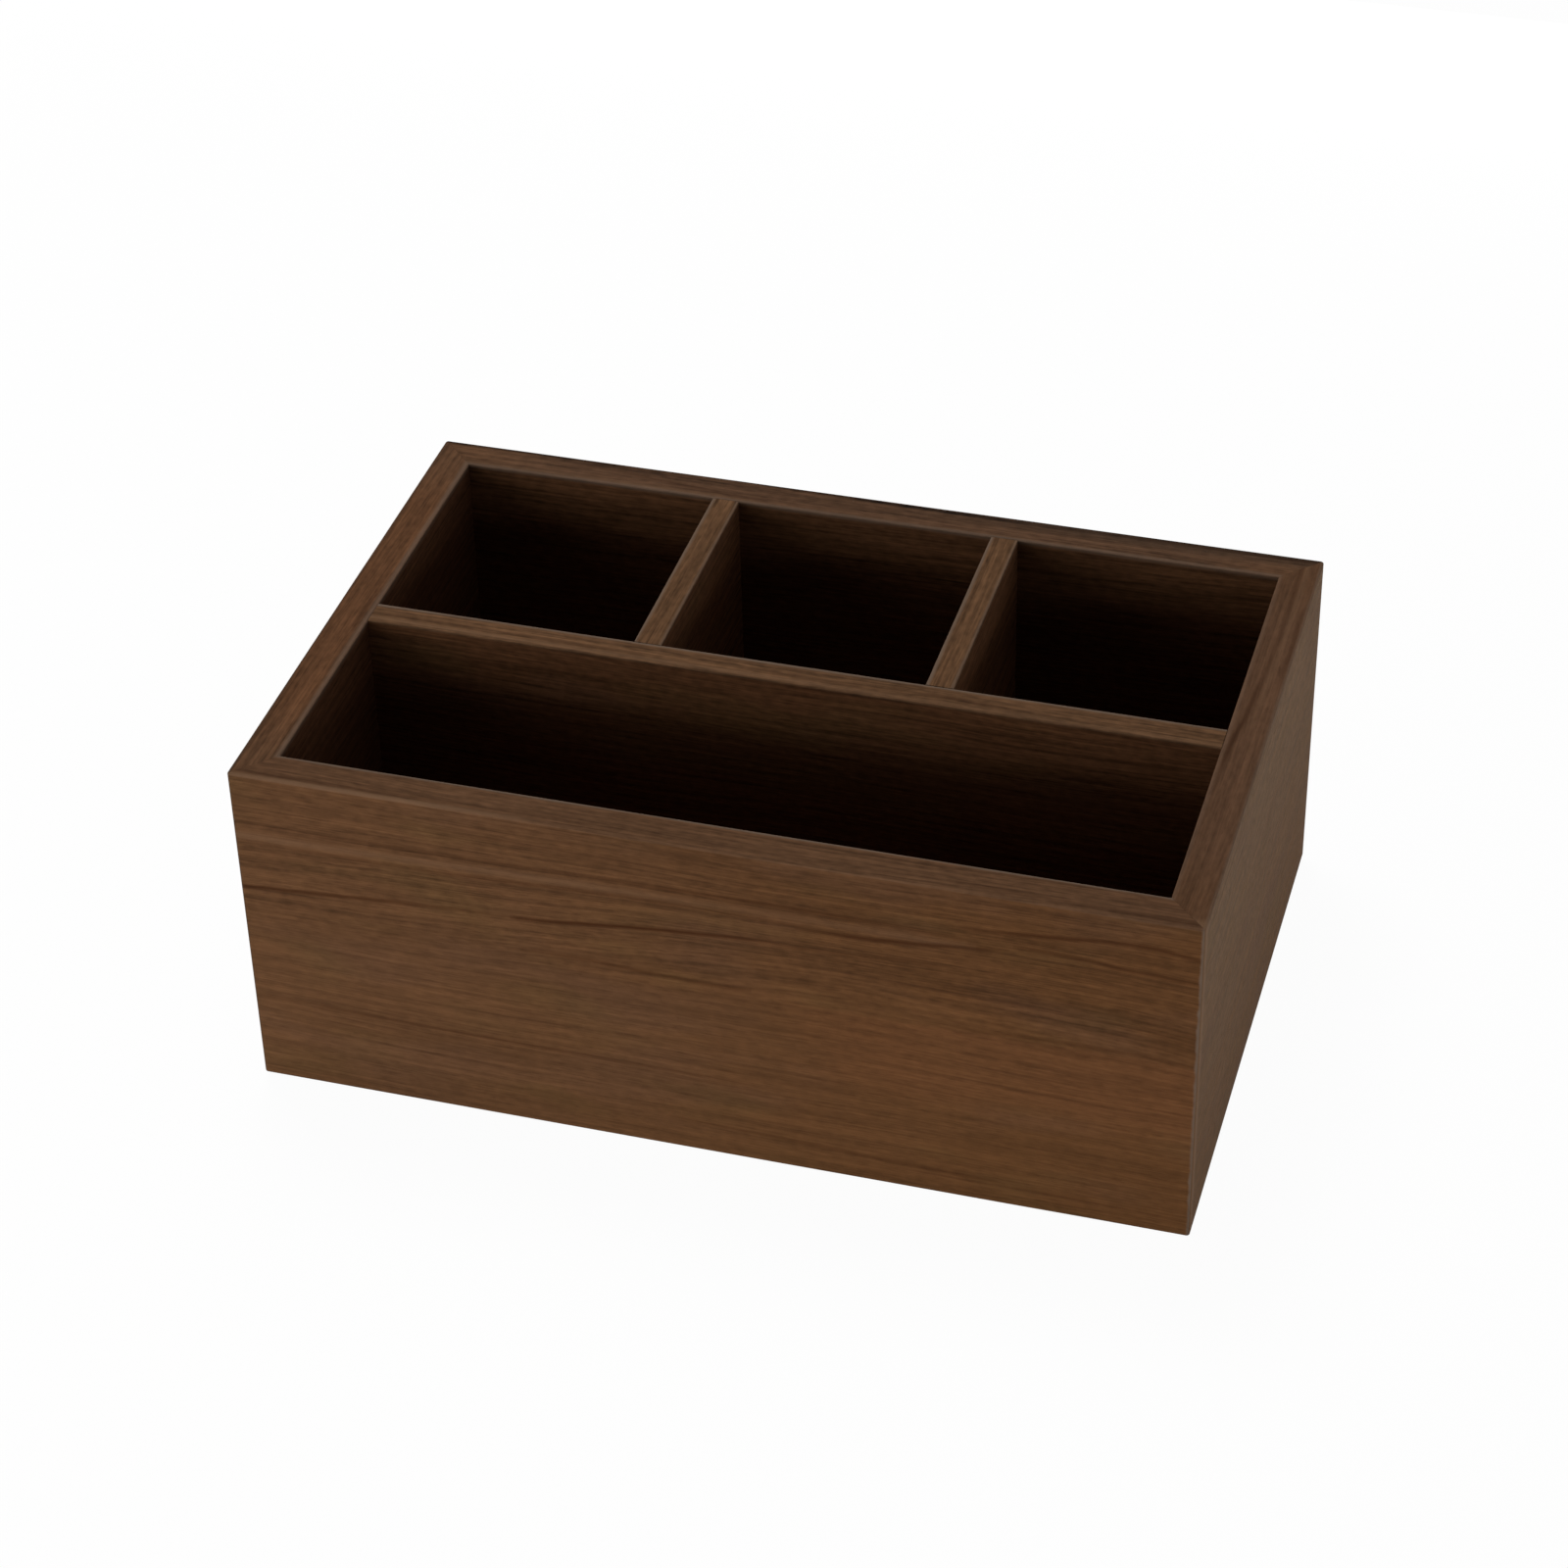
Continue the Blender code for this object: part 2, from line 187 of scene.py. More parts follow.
# The front wall's veins and pale stripe: shares of its length, of the way down it, and of full strength
FRONT_VEIN_SHARES = (
    ((0.00, 0.364, 0.75), (0.14, 0.337, 0.68), (0.22, 0.325, 0.45), (0.29, 0.317, 0.00)),
    ((0.29, 0.318, 0.00), (0.33, 0.312, 0.78), (0.38, 0.298, 0.86), (0.48, 0.273, 0.84),
     (0.56, 0.261, 0.42), (0.61, 0.263, 0.18), (0.69, 0.249, 0.25), (0.74, 0.242, 0.00)),
    ((0.59, 0.201, 0.00), (0.64, 0.199, 0.62), (0.69, 0.193, 0.77), (0.76, 0.176, 0.57), (0.81, 0.159, 0.00)),
    ((0.74, 0.119, 0.00), (0.80, 0.108, 0.44), (0.86, 0.096, 0.70), (0.93, 0.081, 0.66), (1.00, 0.097, 0.45)),
    ((0.81, 0.146, 0.00), (0.88, 0.150, 0.54), (0.94, 0.163, 0.48), (1.00, 0.168, 0.20)),
    ((0.00, 0.151, 0.16), (0.20, 0.152, 0.22), (0.40, 0.144, 0.34), (0.60, 0.140, 0.42), (0.76, 0.144, 0.10)),
    ((0.00, 0.209, 0.14), (0.27, 0.207, 0.32), (0.36, 0.194, 0.35), (0.46, 0.189, 0.25), (0.59, 0.194, 0.20),
     (0.64, 0.200, 0.00)),
    ((0.30, 0.416, 0.00), (0.36, 0.416, 0.35), (0.45, 0.427, 0.45), (0.55, 0.429, 0.10)),
    ((0.74, 0.433, 0.00), (0.84, 0.428, 0.25), (0.90, 0.424, 0.30), (1.00, 0.436, 0.25)),
    ((0.45, 0.901, 0.00), (0.55, 0.908, 0.30), (0.75, 0.926, 0.25), (0.95, 0.946, 0.10)),
    ((0.00, 0.726, 0.17), (0.25, 0.738, 0.25), (0.50, 0.741, 0.10)),
)
FRONT_SAPWOOD_SHARES = (
    (0.00, 0.195, 0.65), (0.19, 0.186, 0.52), (0.32, 0.177, 0.54), (0.45, 0.173, 0.40), (0.57, 0.169, 0.25),
    (0.70, 0.170, 0.32), (0.78, 0.168, 0.00),
)
VEIN_WIDTH = 1.35 * MM
SAPWOOD_WIDTH = 2.6 * MM
SAPWOOD_STRENGTH = 0.75
VEIN_WANDER_SHARE = 0.0035
VEIN_WANDER_SIZE = (0.012, 1.0, 1.0)

# Dark and pale lines on the rims: shares of the board's length, of the way in, and of full strength
FRONT_RIM_DARK = (
    ((0.00, 0.17, 0.35), (0.10, 0.20, 0.49), (0.20, 0.22, 0.42), (0.28, 0.25, 0.35), (0.36, 0.27, 0.17),
     (0.45, 0.28, 0.00)),
    ((0.74, 0.33, 0.00), (0.80, 0.28, 0.42), (0.88, 0.23, 0.42), (0.95, 0.18, 0.56), (1.00, 0.13, 0.49)),
)
# On the front rim the pale line is a painted highlight along its rounded outer edge, over its left third
FRONT_RIM_HIGHLIGHT = (
    ((0.02, 0.05, 0.90), (0.15, 0.05, 1.00), (0.27, 0.06, 0.60), (0.33, 0.07, 0.00)),
)
RIGHT_RIM_DARK = (
    ((0.30, 0.88, 0.00), (0.40, 0.86, 0.50), (0.48, 0.78, 1.00), (0.53, 0.69, 0.90), (0.60, 0.63, 0.80),
     (0.66, 0.56, 0.50), (0.80, 0.50, 0.50), (0.90, 0.50, 0.60), (1.00, 0.50, 0.50)),
    ((0.60, 0.15, 0.00), (0.66, 0.13, 0.40), (0.75, 0.11, 0.70), (0.80, 0.12, 0.60), (0.86, 0.10, 0.00)),
)
RIGHT_RIM_PALE = (
    ((0.50, 0.48, 0.00), (0.60, 0.42, 0.25), (0.75, 0.36, 0.30), (0.90, 0.34, 0.35), (1.00, 0.34, 0.35)),
)
BACK_RIM_DARK = (
    ((0.00, 0.16, 0.70), (0.12, 0.14, 0.60), (0.28, 0.11, 0.30), (0.40, 0.08, 0.00)),
    ((0.61, 0.82, 0.00), (0.64, 0.78, 0.54), (0.68, 0.68, 0.72), (0.73, 0.55, 0.63), (0.78, 0.40, 0.54),
     (0.83, 0.28, 0.27), (0.87, 0.24, 0.00)),
)
BACK_RIM_PALE = (
    ((0.00, 0.86, 0.10), (0.30, 0.87, 0.10), (0.60, 0.88, 0.10), (0.72, 0.86, 0.40), (0.90, 0.85, 0.35),
     (1.00, 0.85, 0.25)),
)
LONG_RIM_DARK = (
    ((0.00, 0.50, 0.34), (0.08, 0.48, 0.42), (0.15, 0.46, 0.00)),
    ((0.15, 0.43, 0.00), (0.20, 0.42, 0.51), (0.28, 0.38, 0.42), (0.34, 0.36, 0.00)),
    ((0.44, 0.45, 0.00), (0.52, 0.42, 0.42), (0.60, 0.46, 0.26), (0.64, 0.50, 0.17), (0.68, 0.50, 0.77),
     (0.73, 0.42, 0.51), (0.77, 0.38, 0.00)),
)
LONG_RIM_PALE = (
    ((0.00, 0.25, 0.60), (0.10, 0.20, 0.60), (0.25, 0.18, 0.55), (0.45, 0.18, 0.50), (0.70, 0.16, 0.30),
     (1.00, 0.14, 0.30)),
)
RIM_LINE_WIDTH = 1.6 * MM
RIM_PALE_STRENGTH = 0.75
RIM_DARK_STRENGTH = 0.55
RIM_WANDER_SHARE = 0.02
RIM_WANDER_SIZE = (0.015, 1.0, 1.0)

# How light the rims are across their width, from the outer edge in: 0.5 leaves the colour as it is
FRONT_RIM_TONES = ((0.0, 0.50), (0.20, 0.465), (0.36, 0.495), (0.60, 0.51), (0.85, 0.49), (1.0, 0.49))
RIGHT_RIM_TONES = ((0.0, 0.47), (0.12, 0.48), (0.34, 0.535), (0.55, 0.485), (0.75, 0.475), (1.0, 0.49))
# On the back rim the dark outer margin is painted shade along its outer edge
BACK_RIM_TONES_AND_EDGE_SHADE = (
    (0.0, 0.25), (0.07, 0.27), (0.14, 0.37), (0.22, 0.465), (0.32, 0.495), (0.8, 0.50), (1.0, 0.51),
)
LEFT_RIM_TONES = ((0.0, 0.47), (0.2, 0.47), (0.4, 0.515), (0.7, 0.50), (1.0, 0.50))
LONG_RIM_TONES = ((0.0, 0.52), (0.3, 0.48), (0.6, 0.50), (1.0, 0.49))
CROSS_RIM_TONES = ((0.0, 0.50), (0.4, 0.49), (0.7, 0.50), (1.0, 0.51))

# Painted light on the front wall on the way down it, darker at its top and lighter towards its foot: 0.5
# leaves the colour as it is
FRONT_PAINTED_LIGHT = (
    (0.0, 0.455), (0.17, 0.47), (0.34, 0.478), (0.50, 0.512), (0.67, 0.533), (0.84, 0.545), (1.0, 0.575),
)

# The sizes of the walnut's noises: first along the board, then in the two directions across it
DRIFT_SIZE = (0.14, 0.05, 0.05)
BAND_SIZE = (0.30, 0.009, 0.02)
STREAK_SIZE = (0.085, 0.0014, 0.0014)
DASH_SIZE = (0.010, 0.00055, 0.00055)
MOTTLE_SIZE = (0.0038, 0.0018, 0.0018)
PORE_SIZE = (0.0045, 0.00022, 0.00022)
FINE_VEIN_SIZE = (0.15, 0.0022, 0.0022)
PATCH_SIZE = (0.060, 0.02, 0.02)
STAIN_SIZE = (0.045, 0.02, 0.015)
EDGE_SIZE = (0.030, 0.004, 0.004)

# How the rings lie: their drift, and their slopes into the board and along it
RING_DRIFT = 3.5 * MM
RING_SLOPE_IN = 0.8
RING_SLOPE_ALONG = 0.012
LANE_SLOPE_IN = 0.5

# How strongly the noises show in the colour
BAND_SWING = 0.10
STREAK_SWING = 0.38
DASH_SWING = 0.20
FINE_VEIN_STRENGTH = 0.30
PORE_STRENGTH = 0.30
INSIDE_CONTRAST = 2.4
FLECK_CONTRAST = 0.17

# The noises' values where pores, fine veins and coloured patches start and are full, and how strong the
# patches are there
PORE_RANGE = (0.62, 0.74)
FINE_VEIN_RANGE = (0.63, 0.76)
PLUM_RANGE = (0.50, 0.72, 0.0, 0.35)
OLIVE_RANGE = (0.52, 0.75, 0.0, 0.30)

# Where a board's faces meet its rim, how far from its ends the corners' colour starts and is full, and the
# share of the width of an edge's painted highlight and shade where it is full
FACE_MEETS_RIM = (0.35 * MM, 0.8 * MM)
CORNER_START = 45 * MM
CORNER_FULL = 8 * MM
EDGE_FULL_SHARE = 0.3

# How far the rims' tones and the edges' painted highlights and shade wander, and a change of colour as a
# share of its length
RIM_TONE_WANDER = 1.2 * MM
EDGE_WANDER = 0.6 * MM
COLOUR_WANDER_SHARE = 0.15

# The front wall's upper part has more contrast than its lower one: shares of the way down, and both contrasts
FRONT_BUSY_SHARES = (0.36, 0.50)
FRONT_BUSY = (1.65, 1.2)

# The front wall's redder area: where it starts along the wall, and its edges as shares of the way down
BRICK_START = (0.010, 0.060)
BRICK_START_WANDER = 30 * MM
BRICK_TOP_SHARES = (0.435, 0.450)
BRICK_FOOT_SHARES = (0.62, 0.74)
BRICK_EDGE_WANDER = 2 * MM
BRICK_STRENGTH = 0.85

# The gloss and relief of walnut and veneer: the oil has sunk in and leaves next to no gloss
WALNUT_SPECULAR = 0.03
WALNUT_ROUGHNESS = 0.70
VENEER_SPECULAR = 0.08
VENEER_ROUGHNESS = 0.68
STREAK_ROUGHNESS = 0.08
PORE_ROUGHNESS = 0.12
PORE_DEPTH = -0.8
WOOD_RELIEF = 0.05 * MM
PLY_THICKNESS = 0.7 * MM

# How far the front wall's figure rises along it, in shares of FIGURE_RISE, and between which heights
FIGURE_RISE_SHARES = (
    (0.0, 0.02), (0.20, 0.22), (0.34, 0.45), (0.56, 0.90), (0.74, 1.0), (0.90, 0.93), (1.0, 0.80),
)
FIGURE_TOP_SHARE = 0.02
FIGURE_MIDDLE_SHARE = 0.28
FIGURE_FOOT_SHARE = 0.55
FIGURE_RISE = 12 * MM


class Graph:
    """A material's nodes, made with one call for each."""

    def __init__(self, name):
        self.material = bpy.data.materials.new(name)
        self.material.use_nodes = True
        self.tree = self.material.node_tree
        self.tree.nodes.clear()

    def feed(self, socket, value):
        """Links a socket, or sets its value."""
        if isinstance(value, bpy.types.NodeSocket):
            self.tree.links.new(value, socket)
        else:
            socket.default_value = value

    def add(self, kind, feeds=None, **settings):
        """A new node with its settings, and its inputs fed by name or number."""
        node = self.tree.nodes.new(kind)
        for name, value in settings.items():
            setattr(node, name, value)
        for key, value in (feeds or {}).items():
            self.feed(node.inputs[key], value)
        return node

    def math(self, operation, *values):
        """One arithmetic step."""
        return self.add("ShaderNodeMath", dict(enumerate(values)), operation=operation).outputs[0]

    def total(self, first, *others):
        """The sum of some values."""
        for value in others:
            first = self.math("ADD", first, value)
        return first

    def product(self, first, *others):
        """The product of some values."""
        for value in others:
            first = self.math("MULTIPLY", first, value)
        return first

    def spread(self, value, amount):
        """A noise value turned into a swing of so much either way."""
        return self.math("MULTIPLY_ADD", value, 2 * amount, -amount)

    def step(self, value, low, high, start=0.0, end=1.0):
        """A smooth step from start to end as the value goes from low to high."""
        feeds = {0: value, 1: low, 2: high, 3: start, 4: end}
        return self.add("ShaderNodeMapRange", feeds, interpolation_type="SMOOTHSTEP").outputs[0]

    def place(self):
        """The piece's own coordinates, and their three parts."""
        vector = self.add("ShaderNodeTexCoord").outputs["Object"]
        parts = self.add("ShaderNodeSeparateXYZ", {0: vector}).outputs
        return vector, parts[0], parts[1], parts[2]

    def joined(self, x, y, z):
        """A vector from three values."""
        return self.add("ShaderNodeCombineXYZ", {0: x, 1: y, 2: z}).outputs[0]

    def grain(self, vector, sizes, seed, detail=2.0, roughness=0.5):
        """Noise whose blobs have the given sizes along the three axes."""
        scales = Vector([1 / size for size in sizes])
        offsets = Vector((seed * 7.31, seed * 3.77, seed * 5.19))
        feeds = {0: vector, 1: scales, 2: offsets}
        stretched = self.add("ShaderNodeVectorMath", feeds, operation="MULTIPLY_ADD").outputs[0]
        feeds = {"Vector": stretched, "Scale": 1.0, "Detail": detail, "Roughness": roughness}
        return self.add("ShaderNodeTexNoise", feeds).outputs[0]

    def profile(self, value, points):
        """A smooth curve through given points from 0 to 1."""
        node = self.add("ShaderNodeFloatCurve", {"Value": value})
        curve = node.mapping.curves[0]
        for _ in points[2:]:
            curve.points.new(0.5, 0.5)
        for point, (across, up) in zip(curve.points, points):
            point.location = (across, up)
        node.mapping.update()
        return node.outputs[0]

    def between(self, share, first, second):
        """A blend of two numbers."""
        return self.add("ShaderNodeMix", {0: share, 2: first, 3: second}, data_type="FLOAT").outputs[0]

    def mix(self, share, first, second):
        """A blend of two colours."""
        feeds = {0: share, 6: opaque(first), 7: opaque(second)}
        return self.add("ShaderNodeMix", feeds, data_type="RGBA").outputs[2]

    def scaled(self, colour, amount):
        """A colour made lighter or darker."""
        feeds = {0: colour, "Scale": amount}
        return self.add("ShaderNodeVectorMath", feeds, operation="SCALE").outputs[0]

    def finish(self, colour, roughness, height, depth, specular, sheen=0.0):
        """The shader, with its bump."""
        bump = self.add("ShaderNodeBump", {"Height": height, "Distance": depth, "Strength": 1.0})
        feeds = {
            "Base Color": colour,
            "Roughness": roughness,
            "Normal": bump.outputs[0],
            "Specular IOR Level": specular,
            "Sheen Weight": sheen,
        }
        shader = self.add("ShaderNodeBsdfPrincipled", feeds)
        self.add("ShaderNodeOutputMaterial", {"Surface": shader.outputs[0]})
        return self.material


def opaque(colour):
    """A written colour with its alpha, or a socket as it is."""
    return colour if isinstance(colour, bpy.types.NodeSocket) else (*colour, 1.0)


def wood_lines(graph, along, down, lines, size, width, wander):
    """How strongly each place lies on one of the given lines of a face of this length and height."""
    length, height = size
    share_along = graph.math("MULTIPLY_ADD", along, 1 / length, 0.5)
    share_down = graph.math("DIVIDE", down, height)
    strongest = 0.0
    for line in lines:
        centre = graph.profile(share_along, [(across, below) for across, below, _ in line])
        strength = graph.profile(share_along, [(across, amount) for across, _, amount in line])
        offset = graph.math("SUBTRACT", share_down, centre)
        distance = graph.math("ABSOLUTE", graph.total(offset, wander))
        mask = graph.step(distance, 0.0, width / height, 1.0, 0.0)
        strongest = graph.math("MAXIMUM", strongest, graph.product(mask, strength))
    return strongest


def painted_edge_light(graph, paint, place, board, seed, edges):
    """Paints highlights, sheen and shade along a board's long edges and outer corners, as strongly and widely
    as its look says.
    """
    vector, x, y, z = place
    thickness, height, half, _ = board
    from_top = graph.math("SUBTRACT", height / 2, z)
    from_foot = graph.math("ADD", height / 2, z)
    from_inner = graph.math("SUBTRACT", thickness, y)
    sides = {
        "outer": (y, from_top),
        "inner": (from_inner, from_top),
        "foot": (y, from_foot),
        "left": (y, graph.math("ADD", half, x)),
        "right": (y, graph.math("SUBTRACT", half, x)),
    }
    uneven = graph.spread(graph.grain(vector, EDGE_SIZE, seed + 9), EDGE_WANDER)
    for side, (strength, colour, width) in edges.items():
        nearest = graph.total(graph.math("MAXIMUM", *sides[side]), uneven)
        # How strongly this edge's painted highlight and shade show here
        painted_share = graph.step(nearest, EDGE_FULL_SHARE * width, width, 1.0, 0.0)
        paint = graph.mix(graph.product(painted_share, strength), paint, colour)
    return paint


def front_figure(graph, x, down, half, height):
    """How far the rings rise along the front wall, most at the height of its long vein."""
    share_along = graph.math("MULTIPLY_ADD", x, 0.5 / half, 0.5)
    share_down = graph.math("DIVIDE", down, height)
    above = graph.step(share_down, FIGURE_TOP_SHARE, FIGURE_MIDDLE_SHARE)
    below = graph.step(share_down, FIGURE_MIDDLE_SHARE, FIGURE_FOOT_SHARE, 1.0, 0.0)
    return graph.product(graph.profile(share_along, FIGURE_RISE_SHARES), above, below, FIGURE_RISE)


def wood_layers(graph, place, down, board, look):
    """The noises that make up a board's figure, with rings that run nearly along it and drift across it."""
    vector, x, y, z = place
    _, height, half, _ = board
    seed = look["seed"]
    ring = graph.total(z, graph.product(y, RING_SLOPE_IN), graph.product(x, RING_SLOPE_ALONG))
    ring = graph.total(ring, graph.spread(graph.grain(vector, DRIFT_SIZE, seed, 1.0), RING_DRIFT))
    if "lines" in look:
        ring = graph.math("SUBTRACT", ring, front_figure(graph, x, down, half, height))
    lane = graph.joined(x, ring, graph.product(y, LANE_SLOPE_IN))
    return SimpleNamespace(
        band=graph.grain(lane, BAND_SIZE, seed + 1, 2.0),
        streak=graph.grain(lane, STREAK_SIZE, seed + 2, 2.0, 0.6),
        dash=graph.grain(lane, DASH_SIZE, seed + 3, 1.0),
        mottle=graph.grain(vector, MOTTLE_SIZE, seed + 10, 1.0),
        pores=graph.step(graph.grain(vector, PORE_SIZE, seed + 4, 1.0), *PORE_RANGE),
        veins=graph.step(graph.grain(lane, FINE_VEIN_SIZE, seed + 5, 2.0), *FINE_VEIN_RANGE),
        patch=graph.grain(vector, PATCH_SIZE, seed + 6, 1.0),
        stain=graph.grain(vector, STAIN_SIZE, seed + 7, 1.0),
    )


def brick_share(graph, x, down, height, layers):
    """How red the front wall is, in an area at its lower right."""
    along = graph.step(graph.total(x, graph.spread(layers.stain, BRICK_START_WANDER)), *BRICK_START)
    edge = graph.total(down, graph.spread(layers.patch, BRICK_EDGE_WANDER))
    top = graph.step(edge, *[share * height for share in BRICK_TOP_SHARES])
    foot = graph.step(edge, *[share * height for share in BRICK_FOOT_SHARES], 1.0, 0.0)
    return graph.product(along, top, foot, BRICK_STRENGTH)


def face_colours(graph, place, down, parts, board, look, layers):
    """The colour of the outer face, the inner one and the rim."""
    _, x, y, _ = place
    on_rim, inside = parts
    _, height, half, mitred = board
    paint = look["colour"]
    if "second" in look:
        second, along, start, end = look["second"]
        way = {"x": x, "down": down}[along]
        shift = graph.spread(layers.stain, COLOUR_WANDER_SHARE * (end - start))
        paint = graph.mix(graph.step(graph.total(way, shift), start, end), paint, second)
    paint = graph.mix(graph.step(layers.patch, *PLUM_RANGE), paint, PLUM_BROWN)
    paint = graph.mix(graph.step(layers.stain, *OLIVE_RANGE), paint, OLIVE_BROWN)
    if "lines" in look:
        paint = graph.mix(brick_share(graph, x, down, height, layers), paint, FRONT_BRICK)
    rim_paint = look["rim_colour"]
    if mitred:
        paint = graph.mix(inside, paint, look["inside"])
        near_end = graph.step(graph.math("ABSOLUTE", x), half - CORNER_START, half - CORNER_FULL)
        rim_paint = graph.mix(near_end, rim_paint, CORNER_RIM)
    if "rim_shade" in look:
        colour, start, end, reach = look["rim_shade"]
        shade = graph.product(graph.step(x, start, end, 1.0, 0.0), graph.step(y, 0.0, reach, 1.0, 0.0))
        rim_paint = graph.mix(shade, rim_paint, colour)
    return graph.mix(on_rim, paint, rim_paint)


def wood_tone(graph, y, down, parts, board, look, layers):
    """How light the bands, streaks and flecks make each place, with a contrast for each face."""
    on_rim, inside = parts
    thickness, height, _, _ = board
    busy = 1.0
    if "lines" in look:
        busy = graph.step(down, *[share * height for share in FRONT_BUSY_SHARES], *FRONT_BUSY)
    busy = graph.between(on_rim, graph.between(inside, busy, INSIDE_CONTRAST), look["rim_contrast"])
    not_outer = graph.math("MAXIMUM", on_rim, inside)
    fleck_contrast = graph.between(not_outer, look.get("flecks", FLECK_CONTRAST), FLECK_CONTRAST)
    flecks = graph.product(graph.spread(layers.mottle, 1.0), fleck_contrast)
    streaks = graph.total(graph.spread(layers.streak, STREAK_SWING), graph.spread(layers.dash, DASH_SWING))
    swing = graph.total(streaks, flecks)
    tone = graph.total(1.0, graph.spread(layers.band, BAND_SWING), graph.product(swing, busy))
    share_in = graph.math("DIVIDE", graph.total(y, graph.spread(layers.patch, RIM_TONE_WANDER)), thickness)
    banding = graph.math("MULTIPLY_ADD", graph.profile(share_in, look["rim"]), 2.0, -1.0)
    tone = graph.total(tone, graph.product(banding, on_rim))
    # Painted light: the front wall darker at its top and lighter towards its foot
    if "painted_light" in look:
        painted_light_level = graph.profile(graph.math("DIVIDE", down, height), look["painted_light"])
        twice_off_rim = graph.math("MULTIPLY_ADD", on_rim, -2.0, 2.0)
        tone = graph.product(tone, graph.math("MULTIPLY_ADD", painted_light_level, twice_off_rim, on_rim))
    return tone


def drawn_lines(graph, paint, place, down, on_rim, board, look):
    """Adds the given lines: the front wall's veins and pale stripe, and those on the rims."""
    vector, x, y, _ = place
    thickness, height, half, _ = board
    seed = look["seed"]
    if "lines" in look:
        wander = graph.spread(graph.grain(vector, VEIN_WANDER_SIZE, seed + 8, 1.0), VEIN_WANDER_SHARE)
        off_rim = graph.math("SUBTRACT", 1.0, on_rim)
        size = (2 * half, height)
        pale = wood_lines(graph, x, down, (look["sapwood"],), size, SAPWOOD_WIDTH, wander)
        paint = graph.mix(graph.product(pale, off_rim, SAPWOOD_STRENGTH), paint, PALE_SAPWOOD)
        dark = wood_lines(graph, x, down, look["lines"], size, VEIN_WIDTH, wander)
        paint = graph.mix(graph.product(dark, off_rim), paint, LINE_BROWN)
    if "rim_dark" in look:
        wander = graph.spread(graph.grain(vector, RIM_WANDER_SIZE, seed + 11, 1.0), RIM_WANDER_SHARE)
        size = (2 * half, thickness)
        # Pale grain streaks, and on the front rim a painted highlight along its outer edge
        pale = wood_lines(graph, x, y, look["rim_pale"], size, RIM_LINE_WIDTH, wander)
        paint = graph.mix(graph.product(pale, on_rim, RIM_PALE_STRENGTH), paint, PALE_STREAK_AND_HIGHLIGHT)
        dark = wood_lines(graph, x, y, look["rim_dark"], size, RIM_LINE_WIDTH, wander)
        depth = look.get("rim_depth", RIM_DARK_STRENGTH)
        paint = graph.mix(graph.product(dark, on_rim, depth), paint, VEIN_BROWN)
    return paint


def walnut(name, board, look):
    """Oiled walnut for one board, with its own veins, streaks and pores, and highlights and shade painted
    along its edges.
    """
    thickness, height, _, mitred = board
    graph = Graph(name)
    place = graph.place()
    _, _, y, z = place
    low, high = FACE_MEETS_RIM
    down = graph.math("SUBTRACT", height / 2, z)
    on_rim = graph.step(down, low, high, 1.0, 0.0)
    inside = graph.step(y, thickness - high, thickness - low) if mitred else 1.0
    parts = (on_rim, inside)
    layers = wood_layers(graph, place, down, board, look)
    paint = face_colours(graph, place, down, parts, board, look, layers)
    paint = graph.scaled(paint, wood_tone(graph, y, down, parts, board, look, layers))
    paint = graph.mix(graph.product(layers.veins, FINE_VEIN_STRENGTH), paint, VEIN_BROWN)
    paint = graph.mix(graph.product(layers.pores, PORE_STRENGTH), paint, VEIN_BROWN)
    paint = drawn_lines(graph, paint, place, down, on_rim, board, look)
    paint = painted_edge_light(graph, paint, place, board, look["seed"], look["edges"])
    roughness = graph.total(WALNUT_ROUGHNESS, graph.spread(layers.streak, STREAK_ROUGHNESS))
    roughness = graph.total(roughness, graph.product(layers.pores, PORE_ROUGHNESS))
    relief = graph.total(graph.product(layers.dash, 0.35), graph.product(layers.streak, 0.30))
    relief = graph.total(relief, graph.product(layers.pores, PORE_DEPTH))
    return graph.finish(paint, roughness, relief, WOOD_RELIEF, WALNUT_SPECULAR)


